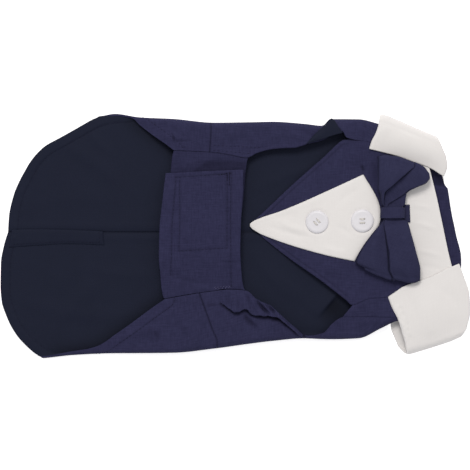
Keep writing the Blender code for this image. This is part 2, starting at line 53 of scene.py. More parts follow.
def linear(hex_colour):
    """An sRGB hex colour as the linear one that shaders and lights take."""
    parts = [int(hex_colour[i : i + 2], 16) / 255 for i in (1, 3, 5)]
    return (*(c / 12.92 if c <= 0.04045 else ((c + 0.055) / 1.055) ** 2.4 for c in parts), 1.0)


def add(tree, kind, inputs=(), **settings):
    """Adds a node with its settings. An input is a value or another node's output."""
    node = tree.nodes.new(kind)
    for key, value in settings.items():
        setattr(node, key, value)
    for socket, value in dict(inputs).items():
        if isinstance(value, bpy.types.NodeSocket):
            tree.links.new(value, node.inputs[socket])
        else:
            node.inputs[socket].default_value = value
    return node


def new_paint(name, uniform):
    """A material with its node tree and its shader. Uniform values are set on the shader's own sockets."""
    paint = bpy.data.materials.new(name)
    paint.use_nodes = True
    shader = paint.node_tree.nodes["Principled BSDF"]
    for socket, value in uniform.items():
        shader.inputs[socket].default_value = value
    return paint, paint.node_tree, shader


MM = 0.001
PHOTO_SIDE, MM_PER_PIXEL = 470, 0.65
VIEW_CENTRE_X, VIEW_CENTRE_Y, VIEW_HEIGHT = -0.39, 0.26, 6.0
LENS, SENSOR, CLIP_END = 200.0, 36.0, 20.0
ROOM_WHITE, ROOM_STRENGTH, LAMP_WHITE = "#fbfcff", 0.46, "#fffaf4"
FLOOR_WHITE, FLOOR_GLOW = "#f7f7f7", 0.64
FLOOR_HALF, FLOOR_DROP = 6.0, 0.00025

# Matt paper with a glow of its own, so that the coat's shadow on it stays faint.
floor_paint, _, _ = new_paint("matt_paper_floor", {
    "Base Color": linear(FLOOR_WHITE), "Roughness": 0.95, "Specular IOR Level": 0.1,
    "Emission Color": linear(FLOOR_WHITE), "Emission Strength": FLOOR_GLOW,
})
floor_mesh = bpy.data.meshes.new("floor")
floor_corners = [
    (end_x * FLOOR_HALF, end_y * FLOOR_HALF, -FLOOR_DROP) for end_x, end_y in ((-1, -1), (1, -1), (1, 1), (-1, 1))
]
floor_mesh.from_pydata(floor_corners, [], [(0, 1, 2, 3)])
floor_mesh.materials.append(floor_paint)
floor = bpy.data.objects.new("floor", floor_mesh)
bpy.context.scene.collection.objects.link(floor)

room = bpy.data.worlds.new("bright_room")
room.use_nodes = True
room_light = room.node_tree.nodes["Background"]
room_light.inputs["Color"].default_value = linear(ROOM_WHITE)
room_light.inputs["Strength"].default_value = ROOM_STRENGTH
bpy.context.scene.world = room

for light_name, place, size, power in (
    ("key_box", (-0.2, 0.95, 1.5), 0.6, 17.5),
    ("top_box", (0.5, -0.1, 1.9), 1.2, 5.0),
):
    light = bpy.data.lights.new(light_name, "AREA")
    light.size = size
    light.energy = power
    light.color = linear(LAMP_WHITE)[:3]
    lamp = bpy.data.objects.new(light_name, light)
    lamp.location = place
    lamp.rotation_euler = (-Vector(place)).to_track_quat("-Z", "Y").to_euler()
    bpy.context.scene.collection.objects.link(lamp)

camera_data = bpy.data.cameras.new("overhead")
camera_data.lens = LENS
camera_data.sensor_width = SENSOR
camera_data.clip_end = CLIP_END
camera = bpy.data.objects.new("overhead", camera_data)
photo_width = PHOTO_SIDE * MM_PER_PIXEL
camera.location = (
    VIEW_CENTRE_X * MM,
    VIEW_CENTRE_Y * MM,
    (VIEW_HEIGHT + photo_width * LENS / SENSOR) * MM,
)
bpy.context.scene.collection.objects.link(camera)
bpy.context.scene.camera = camera
bpy.context.scene.view_settings.view_transform = "Standard"

# ---------------------------------------------------------------------------------------------------------------
# Tails. Two panels of navy plain-weave polyester cotton with a turned and topstitched hem all round, cut in one
# with the sides: each lies on the ground as the back, turns up at the side fold and comes back over the belly.
# They are lined in a smoother, darker weave, which faces up here.
# ---------------------------------------------------------------------------------------------------------------
CLOTH = 1.2
SEAM_GAP = 0.3
WAIST_GAP = 0.04
SEAM_Y = 2.2
NECK_LIFT = 1.5
HEM_WIDTH, HEM_PUFF = 6.2, 0.36
STITCH_ROW, STITCH_DENT = 0.7, 0.14
SEAM_DIP, SEAM_BANK = 0.35, 0.22
WAIST_DIP, WAIST_LINE = 0.3, 0.6
# The middle seam stays open by the first share of the back, what comes back over it starts to count as the top
# layer past the second value, and a fold takes at most the third share of the cloth past its foot.
SEAM_OPEN, TOP_FROM, ROUND_SHARE = 0.0008, 1.6, 0.85


def table(names, *rows):
    """One tuple for each section or crease, with named columns."""
    return np.rec.fromrecords(rows, names=names.split())


# Columns of a crease: its two ends, how far it bows sideways, its half width and its height, negative in a trough.
CREASE = "x0 y0 x1 y1 bow width depth"

# Where the coat folds at its sides, how high its folds stand and what lifts it off the ground, along its length.
FOLDS = table(
    "x right left rise_right rise_left lift",
    (-152.0, 78.0, 84.2, 3.4, 3.4, 0.0),
    (-125.0, 77.8, 82.2, 3.4, 3.4, 0.0),
    (-105.0, 77.2, 80.1, 3.4, 3.8, 0.0),
    (-80.0, 77.2, 79.0, 3.4, 4.6, 0.0),
    (-62.0, 74.7, 78.9, 4.6, 6.0, 0.0),
    (-40.0, 73.6, 78.6, 8.0, 8.0, 0.0),
    (-14.0, 71.2, 75.9, 8.0, 8.0, 0.0),
    (10.0, 71.5, 72.6, 8.0, 8.0, 0.0),
    (24.0, 71.8, 70.9, 8.0, 8.0, 0.0),
    (45.0, 70.4, 69.2, 8.0, 8.0, 0.0),
    (56.0, 69.2, 69.7, 8.0, 8.0, 0.0),
    (63.0, 73.5, 69.8, 8.0, 8.0, 0.0),
    (80.0, 73.4, 69.2, 8.0, 8.0, 0.0),
    (95.0, 69.8, 62.4, 8.0, 8.0, NECK_LIFT),
    (105.0, 67.6, 57.9, 8.0, 8.0, NECK_LIFT),
    (115.0, 66.0, 56.5, 8.0, 8.0, NECK_LIFT),
)
# How far out from the middle the edges of what comes back over the belly lie.
EDGES = table(
    "x right left",
    (-46.0, 53.3, 43.5), (-16.0, 51.9, 38.6), (-4.0, 50.2, 37.4), (7.0, 48.2, 38.2), (14.2, 51.4, 44.0),
    (22.4, 53.6, 47.8), (30.5, 54.4, 54.8), (38.0, 54.7, 61.4), (47.0, 57.2, 67.8), (56.8, 59.8, 65.6),
    (62.7, 63.0, 59.6), (69.2, 65.4, 55.4), (72.0, 61.3, 55.2), (86.0, 58.5, 55.2), (104.0, 56.0, 55.6),
)
# Across the cloth, 0 is the middle of the back, 1 the side fold's foot, 2 past the fold and 3 the free edge.
HEMS = {
    "right": table(
        "across x",
        (0.0, -148.3), (0.14, -147.6), (0.32, -144.5), (0.42, -141.4), (0.52, -137.4), (0.62, -132.7),
        (0.73, -124.8), (0.81, -114.6), (0.90, -102.9), (0.97, -93.6), (1.0, -89.0), (1.36, -79.5), (1.6, -70.5),
        (2.0, -65.4), (2.13, -62.8), (2.4, -55.6), (2.68, -47.8), (3.0, -40.0),
    ),
    "left": table(
        "across x",
        (0.0, -148.3), (0.10, -150.8), (0.24, -152.9), (0.42, -153.2), (0.55, -152.4), (0.65, -149.8),
        (0.745, -146.4), (0.84, -141.5), (0.93, -134.9), (0.975, -131.0), (1.0, -128.5), (1.4, -125.6),
        (1.8, -120.4), (2.0, -115.0), (2.04, -97.0), (2.11, -88.1), (2.3, -78.4), (2.5, -68.6),
        (2.79, -55.6), (3.0, -45.9),
    ),
}
WAIST = table(
    "across right left",
    (0.0, -16.0, -16.0), (1.0, -15.9, -12.0), (2.0, -15.9, -12.0), (2.25, -16.1, -15.0), (3.0, -16.9, -23.6),
)


def smooth(at, places, values):
    """Values on a curve through the points that never overshoots them."""
    places, values = np.asarray(places, float), np.asarray(values, float)
    slopes = np.diff(values) / np.diff(places)
    product = slopes[1:] * slopes[:-1]
    total = np.where(product > 0, slopes[1:] + slopes[:-1], 1.0)
    tangents = np.concatenate([slopes[:1], np.where(product > 0, 2 * product / total, 0.0), slopes[-1:]])
    at = np.clip(at, places[0], places[-1])
    i = np.clip(np.searchsorted(places, at) - 1, 0, len(slopes) - 1)
    step = places[i + 1] - places[i]
    t = (at - places[i]) / step
    rise = values[i] + t * t * (3 - 2 * t) * (values[i + 1] - values[i])
    return rise + step * t * (1 - t) * ((1 - t) * tangents[i] - t * tangents[i + 1])


def mix(a, b, share):
    """Between a and b, by a share from 0 to 1."""
    return a + share * (b - a)


def bell(distance, width):
    """A soft bump across a line: 1 on it, falling off over the width."""
    return np.exp(-((distance / width) ** 2))


def past_line(distance, softness):
    """A soft step: 0 before a line and 1 past it."""
    return 1 / (1 + np.exp(np.clip(-distance / softness, -30, 30)))


def stacked(*parts):
    """Coordinates side by side, as points."""
    return np.stack(np.broadcast_arrays(*parts), axis=-1)


def wrapped(across, far, radius, edge):
    """Cloth round one side fold: distance from the centre, height, and distance along the cloth.

    It lies flat up to the fold's foot, goes round a half circle and comes back over the top to `edge`.
    """
    foot, inset = far - radius, far - edge
    rolled = radius * (math.pi - np.arcsin(np.clip((radius - inset) / radius, -1, 1)))
    wrap = np.where(inset < radius, rolled, math.pi * radius + inset - radius)
    arc = np.minimum(math.pi * radius, ROUND_SHARE * wrap)
    past = np.where(across <= 2, (across - 1) * arc, arc + (across - 2) * (wrap - arc))
    turn = np.clip(past / radius, 0, math.pi)
    back = np.maximum(past - math.pi * radius, 0)
    y = np.where(across <= 1, across * foot, foot + radius * np.sin(turn) - back)
    z = np.where(across <= 1, 0.0, radius - radius * np.cos(turn))
    return y, z, np.where(across <= 1, across * foot, foot + past)


def coat_cloth(side, x, across):
    """The coat's outer face: a grid of points, and each point's place on the flat cloth."""
    far = smooth(x, FOLDS.x, FOLDS[side])
    radius = smooth(x, FOLDS.x, FOLDS["rise_" + side]) / 2
    y, z, girth = wrapped(across, far, radius, smooth(x, EDGES.x, EDGES[side]))
    sign = 1 if side == "right" else -1
    return stacked(x, SEAM_Y + sign * y, smooth(x, FOLDS.x, FOLDS.lift) + z), stacked(x, sign * girth)


def creases(rows, x, y):
    """Height of soft ridges, or troughs where depth is negative, over a plan."""
    height = np.zeros_like(x)
    for row in rows:
        length = math.hypot(row.x1 - row.x0, row.y1 - row.y0)
        run_x, run_y = (row.x1 - row.x0) / length, (row.y1 - row.y0) / length
        from_x, from_y = x - row.x0, y - row.y0
        t = (from_x * run_x + from_y * run_y) / length
        within = np.clip(t, 0, 1)
        aside = from_y * run_x - from_x * run_y - row.bow * 4 * within * (1 - within)
        beyond = (t - within) * length
        taper = np.sin(math.pi * (0.06 + 0.88 * within)) ** 0.8
        height += row.depth * taper * np.exp(-(aside**2 + beyond**2) / row.width**2)
    return height


def uneven(x, y, size, depth):
    """Slow unevenness of cloth that has been folded and pressed."""
    u, v = (0.8 * x + 0.6 * y) / size, (0.8 * y - 0.6 * x) / size
    return depth * np.sin(2.1 * u + 0.8 * np.sin(1.3 * v)) * np.cos(1.7 * v + 0.9 * np.sin(0.8 * u))


def away_from(line, points):
    """Distance of each point of a plan from a line of points."""
    near = np.full(points.shape[:-1], 1e9)
    for start, end in zip(line[:-1], line[1:]):
        run = end - start
        share = np.clip(((points - start) @ run) / max(run @ run, 1e-12), 0, 1)
        near = np.minimum(near, np.linalg.norm(points - start - share[..., None] * run, axis=-1))
    return near


# How much the weave and the cloth's slow patches show in its colour, and how dark the painted shade gets in
# creases, seams, stitch lines and under overlapping cloth.
MIDDLE_TONE, WEAVE_SHOWS, PATCHES_SHOW, SLUBS_RISE, SHADE_TONE = 0.38, 0.12, 0.5, 0.9, 0.25


def woven(name, ground, thread, pitch, slub, roughness, sheen, relief):
    """Plain-weave cloth. `pitch` is the drawn thread spacing, and `slub` how much thick threads show."""
    paint, tree, shader = new_paint(name, {
        "Roughness": roughness, "IOR": 1.46, "Specular IOR Level": 0.1, "Sheen Weight": sheen,
        "Sheen Roughness": 0.45, "Sheen Tint": linear(thread),
    })
    on_cloth = add(tree, "ShaderNodeUVMap", uv_map="cloth")
    in_mm = add(tree, "ShaderNodeVectorMath", {0: on_cloth.outputs["UV"], 1: (1 / MM,) * 3}, operation="MULTIPLY")
    bands = 2 * math.pi / (20 * pitch)
    threads = []
    for direction in ("X", "Y"):
        wave = add(
            tree, "ShaderNodeTexWave",
            {"Vector": in_mm.outputs[0], "Scale": bands, "Distortion": 0.6, "Detail": 1.0, "Detail Scale": 0.6},
            bands_direction=direction,
        )
        stretch = (0.14, 1.1, 1.0) if direction == "X" else (1.1, 0.14, 1.0)
        drawn = add(tree, "ShaderNodeMapping", {"Vector": in_mm.outputs[0], "Scale": stretch})
        thick = add(
            tree, "ShaderNodeTexNoise",
            {"Vector": drawn.outputs[0], "Scale": 1.0, "Detail": 4.0, "Roughness": 0.7},
        )
        threads.append((wave.outputs["Fac"], thick.outputs["Fac"]))
    weave = add(tree, "ShaderNodeMath", {0: threads[0][0], 1: threads[1][0]}, operation="MULTIPLY")
    slubs = add(tree, "ShaderNodeMath", {0: threads[0][1], 1: threads[1][1]}, operation="ADD")
    patchy = add(
        tree, "ShaderNodeTexNoise", {"Vector": in_mm.outputs[0], "Scale": 0.05, "Detail": 3.0, "Roughness": 0.6},
    )
    blend = add(
        tree, "ShaderNodeMapRange",
        {0: slubs.outputs[0], 1: 0.75, 2: 1.25, 3: MIDDLE_TONE - slub, 4: MIDDLE_TONE + slub},
    )
    for shows, share in ((weave, WEAVE_SHOWS), (patchy, PATCHES_SHOW)):
        blend = add(
            tree, "ShaderNodeMath", {0: shows.outputs[0], 1: share, 2: blend.outputs[0]},
            operation="MULTIPLY_ADD",
        )
    colour = add(
        tree, "ShaderNodeMix", {"Factor": blend.outputs[0], 6: linear(ground), 7: linear(thread)},
        data_type="RGBA",
    )
    # The "shade" attribute mixes the colour towards a dark tone: painted shade in creases, seams, stitch lines and
    # under overlapping cloth.
    pressed = add(tree, "ShaderNodeAttribute", attribute_name="shade")
    in_shade = tuple(SHADE_TONE * c for c in linear(ground)[:3]) + (1.0,)
    painted_shade = add(
        tree, "ShaderNodeMix", {"Factor": pressed.outputs["Fac"], 6: colour.outputs[2], 7: in_shade},
        data_type="RGBA",
    )
    height = add(
        tree, "ShaderNodeMath", {0: slubs.outputs[0], 1: SLUBS_RISE, 2: weave.outputs[0]},
        operation="MULTIPLY_ADD",
    )
    bump = add(tree, "ShaderNodeBump", {"Height": height.outputs[0], "Strength": 1.0, "Distance": relief * MM})
    tree.links.new(painted_shade.outputs[2], shader.inputs["Base Color"])
    tree.links.new(bump.outputs[0], shader.inputs["Normal"])
    return paint


# Navy polyester cotton: matt, slightly slubby, with a faint violet sheen. Its threads are 0.35 mm apart, and are
# drawn at 1.1 mm so that they show.
navy = woven("navy_polycotton", "#22223a", "#32324f", 1.1, 0.34, 0.9, 0.12, 0.05)
# Its lining, a finer polyester weave: smoother and darker, with a little gloss.
lining = woven("navy_lining", "#171b2a", "#1d2132", 1.1, 0.12, 0.72, 0.04, 0.02)


def cloth(
    name, grid, places, wall, paints, relief=0.0, inner=0.0, shade=0.0, inner_shade=0.0, roll=0.12, floor_z=None,
):
    """A closed sheet of cloth from a grid of its outer face, in millimetres.

    places is each point's place on the flat cloth, which the weave follows. paints are the materials of the outer
    face, the inner face and the rim. relief moves both faces out and inner moves the inner face further in.
    shade and inner_shade are painted shade on the outer and inner face, darkening the colour in creases, seams,
    stitch lines and under overlapping cloth; roll is how far the cut or turned edge bulges.
    """
    rows, columns = grid.shape[:2]
    normal = np.cross(np.gradient(grid, axis=1), np.gradient(grid, axis=0))
    normal /= np.maximum(np.linalg.norm(normal, axis=-1, keepdims=True), 1e-9)
    relief, inner = np.broadcast_to(relief, (rows, columns)), np.broadcast_to(inner, (rows, columns))
    outer_face = grid + normal * relief[..., None]
    inner_face = grid + normal * (relief - wall - inner)[..., None]
    if floor_z is not None:
        outer_face[..., 2] = np.maximum(outer_face[..., 2], floor_z)
    index = np.arange(rows * columns).reshape(rows, columns)
    ring = np.concatenate([index[0, :-1], index[:-1, -1], index[-1, :0:-1], index[:0:-1, 0]])
    ring_row, ring_column = np.divmod(ring, columns)
    inward = index[np.clip(ring_row, 1, rows - 2), np.clip(ring_column, 1, columns - 2)]
    outer_points, inner_points = outer_face.reshape(-1, 3), inner_face.reshape(-1, 3)
    bulge = outer_points[ring] - outer_points[inward]
    bulge /= np.maximum(np.linalg.norm(bulge, axis=1, keepdims=True), 1e-9)
    rim = (outer_points[ring] + inner_points[ring]) / 2 + roll * bulge
    if floor_z is not None:
        rim[:, 2] = np.maximum(rim[:, 2], floor_z + wall / 2)
    count = rows * columns
    quads = np.stack([index[:-1, :-1], index[:-1, 1:], index[1:, 1:], index[1:, :-1]], axis=-1).reshape(-1, 4)
    here, after = np.arange(len(ring)), np.roll(np.arange(len(ring)), -1)
    rim_index = 2 * count
    upper = np.stack([ring[after], ring[here], rim_index + here, rim_index + after], axis=1)
    lower = np.stack([rim_index + after, rim_index + here, count + ring[here], count + ring[after]], axis=1)
    faces = np.concatenate([quads, quads[:, ::-1] + count, upper, lower])
    kinds = np.concatenate([np.zeros(len(quads)), np.ones(len(quads)), np.full(2 * len(ring), 2)]).astype(np.int32)
    mesh = bpy.data.meshes.new(name)
    mesh.from_pydata((np.concatenate([outer_points, inner_points, rim]) * MM).tolist(), [], faces.tolist())
    for paint in paints:
        mesh.materials.append(paint)
    mesh.polygons.foreach_set("material_index", kinds)
    flat = places.reshape(-1, 2)
    per_vertex = np.concatenate([flat, flat, flat[ring]]) * MM
    corners = np.empty(len(mesh.loops), np.int32)
    mesh.loops.foreach_get("vertex_index", corners)
    mesh.uv_layers.new(name="cloth").uv.foreach_set("vector", per_vertex[corners].astype(np.float32).ravel())
    dark = [np.broadcast_to(part, (rows, columns)).ravel() for part in (shade, inner_shade)]
    dark = np.concatenate([*dark, dark[0][ring]])
    mesh.attributes.new("shade", "FLOAT", "POINT").data.foreach_set("value", dark.astype(np.float32))
    mesh.shade_smooth()
    piece = bpy.data.objects.new(name, mesh)
    bpy.context.scene.collection.objects.link(piece)
    return piece, outer_face, inner_face


def declare(piece, node):
    """Ties a sheet to the frame and hides the part of model.glb that it stands for."""
    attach(piece, "root")
    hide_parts(node)


# Creases of the whole coat by layer: "back" lies on the ground, "top" is what comes back over it.
COAT_CREASES = {
    "back": table(
        CREASE,
        (-118.0, 62.0, -72.0, 30.0, 3.0, 4.5, 0.5),
        (-96.0, 69.0, -80.0, 52.0, -1.0, 3.0, 0.45),
        (-140.0, 20.0, -70.0, 24.0, 2.0, 6.0, 0.35),
        (-138.0, -44.0, -66.0, -52.0, -3.0, 5.0, 0.5),
        (-120.0, -66.0, -88.0, -30.0, 3.0, 5.0, 0.4),
        (-104.0, -20.0, -52.0, -26.0, -1.5, 4.0, 0.35),
        (-76.0, 8.0, -20.0, 14.0, 2.0, 5.0, 0.3),
        (14.0, 30.0, 58.0, 46.0, 2.0, 4.0, 0.5),
        (12.0, -12.0, 40.0, -42.0, -2.0, 4.0, 0.5),
        (28.0, -26.0, 52.0, -50.0, 1.0, 3.0, 0.4),
    ),
    "top": table(
        CREASE,
        (-120.0, -73.0, -96.0, -70.0, 0.6, 2.0, 0.5),
        (-84.0, -70.0, -50.0, -60.0, 1.0, 3.2, 0.9),
        (-58.0, -60.0, -52.0, -74.0, -1.5, 3.6, -1.0),
        (-44.0, -46.0, -30.0, -66.0, 2.0, 3.4, 0.8),
        (-27.0, -45.0, -25.6, -53.0, 0.3, 1.2, -0.6),
        (-24.0, -56.0, -18.0, -72.0, 1.0, 2.6, -0.7),
        (-64.0, 73.0, -56.0, 67.0, 0.6, 2.2, -0.6),
        (-52.0, 66.0, -30.0, 58.0, 1.0, 2.6, 0.7),
        (-40.6, 64.8, -39.8, 60.0, 0.3, 0.9, -0.8),
        (-39.6, 61.0, -30.0, 61.4, 0.4, 0.9, -0.7),
        (-27.0, 71.0, -23.0, 58.0, 0.5, 2.2, 0.7),
        (-21.0, 71.0, -18.6, 60.0, -0.4, 1.6, -0.5),
        (-12.0, 70.0, -9.0, 58.0, 0.5, 2.0, 0.5),
        (-8.0, 62.0, 10.0, 67.0, 1.0, 3.2, 0.7),
        (10.0, 54.0, 26.0, 63.0, -1.5, 2.6, -0.7),
        (26.0, 66.0, 50.0, 60.0, 2.0, 2.8, 0.8),
        (40.0, 69.0, 56.0, 63.0, -1.0, 2.0, -0.6),
        (-8.0, -52.0, 4.0, -66.0, 1.0, 2.6, 0.8),
        (6.1, -52.6, 14.4, -61.0, -0.6, 1.6, -1.0),
        (9.6, -52.0, 19.0, -61.0, -0.8, 1.9, 0.8),
        (20.0, -56.0, 38.0, -66.0, 1.0, 2.4, 0.6),
        (72.0, 72.0, 78.0, 63.0, 0.6, 1.6, 0.7),
        (80.0, 70.0, 92.0, 61.0, 1.5, 2.8, 0.7),
        (76.0, -58.0, 98.0, -55.5, 0.6, 1.8, 0.6),
        (70.0, -62.0, 92.0, -65.0, 0.6, 1.8, -0.5),
    ),
}


# Sharp creases pressed into the top layer: a tack on the right, folds of the strip on the left. Their troughs are
# also painted darker, as painted shade.
PRESSED = table(
    CREASE,
    (-41.2, 66.0, -39.9, 61.0, 0.2, 0.5, -0.5),
    (-39.8, 60.6, -28.6, 61.4, 0.2, 0.45, -0.3),
    (-53.0, -62.0, -50.0, -68.0, 0.3, 1.4, -0.7),
    (-25.2, -45.0, -7.0, -45.3, 0.1, 0.5, -0.5),
    (5.6, -51.4, 12.4, -59.0, -0.6, 1.2, -0.8),
)


def coat_relief(across, grid):
    """Creases and unevenness of the coat's two layers."""
    x, y = grid[..., 0], grid[..., 1]
    back = np.clip((1.0 - across) / 0.06, 0, 1)
    top = np.clip((across - 1.7) / 0.3, 0, 1)
    on_back = creases(COAT_CREASES["back"], x, y) + 0.12 + uneven(x, y, 24.0, 0.12)
    on_top = creases(COAT_CREASES["top"], x, y) + uneven(x, y, 15.0, 0.16)
    # The back may only lift off the ground, which is inwards for its outer face.
    return top * on_top - back * np.maximum(on_back, 0)


TOP_STITCH_SHADE = {"right": 0.0, "left": 0.18}
tail_faces = {}
for side in ("right", "left"):
    zones = (SEAM_OPEN, 1.0, 85), (1.0, 2.0, 15), (2.0, 3.0, 48)
    across = np.unique(np.concatenate([np.linspace(*zone) for zone in zones]))[:, None]
    start = smooth(across, HEMS[side].across, HEMS[side].x)
    end = smooth(across, WAIST.across, WAIST[side]) - WAIST_GAP / 2
    x = mix(start, end, np.linspace(0, 1, 150))
    grid, places = coat_cloth(side, x, np.broadcast_to(across, x.shape))
    hem_line = places[:, 0]
    from_hem = away_from(hem_line, places)
    from_seam = np.abs(places[..., 1])
    band = np.clip(from_hem / HEM_WIDTH, 0, 1)
    pucker = np.sin(places[..., 1] * 0.95 + 2.0 * np.sin(places[..., 0] * 0.21)) * np.sin(places[..., 0] * 0.8)
    stitched = bell(from_hem - HEM_WIDTH, STITCH_ROW)
    puff = HEM_PUFF * np.where(band < 1, 0.35 + 0.65 * np.sin(math.pi * band) ** 0.7, 0)
    near_stitch = bell(from_hem - HEM_WIDTH, 2.6) * 0.12 * pucker
    inner = puff - STITCH_DENT * stitched + near_stitch
    inner = inner - SEAM_DIP * bell(from_seam, 1.3) + SEAM_BANK * bell(from_seam - 4.2, 2.2)
    top_share = np.clip(across - TOP_FROM, 0, 1)
    waist = bell(end - x, WAIST_LINE)
    pressed = top_share * creases(PRESSED, grid[..., 0], grid[..., 1])
    relief = coat_relief(across, grid) + pressed
    relief = relief - top_share * (0.14 * stitched - 0.06 * np.where(band < 1, 1, 0) + WAIST_DIP * waist)
    # Painted shade on the top layer: along the hem's stitch line, in the waist seam and in the pressed creases.
    outer_shade = np.maximum(TOP_STITCH_SHADE[side] * stitched, 0.4 * waist) - 0.7 * pressed
    # Painted shade on the lining along the stitch line and the middle seam, and the painted shadow of the top
    # layer's free edge on the back beneath it.
    free_edge = grid[across[:, 0] >= 2.0, 0, :2]
    under_edge_shadow = 0.35 * bell(away_from(free_edge, grid[..., :2]), 6.0) * (across < 1)
    inner_shade = 0.07 * stitched + 0.35 * bell(from_seam, 0.8) + under_edge_shadow
    flip = slice(None, None, -1) if side == "right" else slice(None)
    piece, outer_face, inner_face = cloth(
        f"tail_{side}_cloth", grid[flip], places[flip], CLOTH, (navy, lining, navy), relief[flip], inner[flip],
        outer_shade[flip], inner_shade[flip], roll=0.1, floor_z=0.0,
    )
    tail_faces[side] = piece, outer_face[flip], inner_face[flip], places, from_hem

# ---------------------------------------------------------------------------------------------------------------
# Topstitching of the tails. Navy polyester thread, 2.6 mm to a stitch, all round the hem on both sides of the
# cloth, sunk a little into it.
# ---------------------------------------------------------------------------------------------------------------


def stitch_tree():
    """Node tree that lays a short thread at every step along a path."""
    tree = bpy.data.node_groups.new("topstitches", "GeometryNodeTree")
    for socket, kind in (
        ("Path", "NodeSocketGeometry"), ("Pitch", "NodeSocketFloat"), ("Stitch Length", "NodeSocketFloat"),
        ("Thread Width", "NodeSocketFloat"), ("Thread", "NodeSocketMaterial"),
    ):
        tree.interface.new_socket(socket, in_out="INPUT", socket_type=kind)
    tree.interface.new_socket("Stitches", in_out="OUTPUT", socket_type="NodeSocketGeometry")
    given = add(tree, "NodeGroupInput").outputs
    curve = add(tree, "GeometryNodeMeshToCurve", {"Mesh": given["Path"]})
    steps = add(
        tree, "GeometryNodeResampleCurve", {"Curve": curve.outputs[0], "Length": given["Pitch"]}, mode="LENGTH",
    )
    tangent = add(tree, "GeometryNodeInputTangent")
    turn = add(tree, "FunctionNodeAlignRotationToVector", {"Vector": tangent.outputs[0]}, axis="X")
    bead = add(tree, "GeometryNodeMeshUVSphere", {"Segments": 6, "Rings": 5, "Radius": 0.5})
    thickness = given["Thread Width"]
    size = add(tree, "ShaderNodeCombineXYZ", {0: given["Stitch Length"], 1: thickness, 2: thickness})
    laid = add(tree, "GeometryNodeInstanceOnPoints", {
        "Points": steps.outputs[0], "Instance": bead.outputs[0], "Rotation": turn.outputs[0],
        "Scale": size.outputs[0],
    })
    real = add(tree, "GeometryNodeRealizeInstances", {0: laid.outputs[0]})
    rounded = add(tree, "GeometryNodeSetShadeSmooth", {0: real.outputs[0]})
    painted = add(tree, "GeometryNodeSetMaterial", {"Geometry": rounded.outputs[0], "Material": given["Thread"]})
    add(tree, "NodeGroupOutput", {0: painted.outputs[0]})
    return tree


topstitches = stitch_tree()


def polyester_thread(name, colour):
    """Spun sewing thread: its twist is too fine to show and is drawn as bands 0.5 mm apart, painted darker between
    the plies as painted shade.
    """
    paint, tree, shader = new_paint(name, {"Roughness": 0.8, "Specular IOR Level": 0.15})
    place = add(tree, "ShaderNodeTexCoord")
    twist = add(
        tree, "ShaderNodeTexWave", {"Vector": place.outputs["Object"], "Scale": 628.0},
        bands_direction="DIAGONAL",
    )
    shade_between_plies = tuple(0.7 * c for c in linear(colour)[:3]) + (1.0,)
    tone = add(
        tree, "ShaderNodeMix", {"Factor": twist.outputs["Fac"], 6: linear(colour), 7: shade_between_plies},
        data_type="RGBA",
    )
    tree.links.new(tone.outputs[2], shader.inputs["Base Color"])
    return paint


navy_thread = polyester_thread("navy_polyester_thread", "#1c1c32")
dark_thread = polyester_thread("dark_polyester_thread", "#121222")
pale_thread = polyester_thread("pale_polyester_thread", "#6d6a8e")


def sew(name, lines, thread, pitch=2.6, length=2.0, width=0.3):
    """Stitches along lines of points, in millimetres, as one mesh."""
    points = np.concatenate(lines) * MM
    edges, first = [], 0
    for line in lines:
        edges += [(first + i, first + i + 1) for i in range(len(line) - 1)]
        first += len(line)
    path = bpy.data.meshes.new(name)
    path.from_pydata(points.tolist(), edges, [])
    piece = bpy.data.objects.new(name, path)
    bpy.context.scene.collection.objects.link(piece)
    nodes = piece.modifiers.new("sew", "NODES")
    nodes.node_group = topstitches
    given = {"Pitch": pitch * MM, "Stitch Length": length * MM, "Thread Width": width * MM, "Thread": thread}
    for socket in topstitches.interface.items_tree:
        if socket.name in given:
            nodes[socket.identifier] = given[socket.name]
    made = bpy.data.meshes.new_from_object(piece.evaluated_get(bpy.context.evaluated_depsgraph_get()))
    piece.modifiers.clear()
    piece.data = made
    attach(piece, "root")
    return piece


def contour(face, field, level):
    """The line on a face where a field first passes a level, row by row."""
    line = []
    for row_points, row_field in zip(face, field):
        past = np.argmax(row_field >= level)
        if past == 0:
            continue
        share = (level - row_field[past - 1]) / (row_field[past] - row_field[past - 1])
        line.append(mix(row_points[past - 1], row_points[past], share))
    return np.array(line)


for side, (piece, outer_face, inner_face, places, from_hem) in tail_faces.items():
    lines = [contour(face, from_hem, HEM_WIDTH) for face in (inner_face, outer_face)]
    stitches = sew(f"tail_{side}_hem_stitches", lines, navy_thread)
    declare(piece, f"tail_{side}")

# ---------------------------------------------------------------------------------------------------------------
# Vent facing. The turned edge of the left tail panel, a doubled strip of the same cloth pressed over the right
# panel at the vent and stitched down along its lower edge and across its end.
# ---------------------------------------------------------------------------------------------------------------
# Rays fall from this height, in metres, to find what a piece lies on.
ABOVE, DOWN = 0.1, Vector((0, 0, -1))
VENT_CLOTH = 0.5
VENT_STITCH_IN, VENT_EDGE_DROP, VENT_GATHER = 1.6, 0.36, 0.16


def height_on(pieces, x, y):
    """Height of the uppermost of the pieces over each point of a plan."""
    depsgraph = bpy.context.evaluated_depsgraph_get()
    trees = [BVHTree.FromObject(piece, depsgraph) for piece in pieces]
    height = np.zeros_like(x)
    for place in np.ndindex(x.shape):
        above = Vector((x[place] * MM, y[place] * MM, ABOVE))
        hits = [tree.ray_cast(above, DOWN)[0] for tree in trees]
        height[place] = max([hit.z / MM for hit in hits if hit is not None], default=0.0)
    return height


# Columns of a sheet's sections: a point on its near rail and one on its far rail.
SHEET = "near_x near_y far_x far_y"


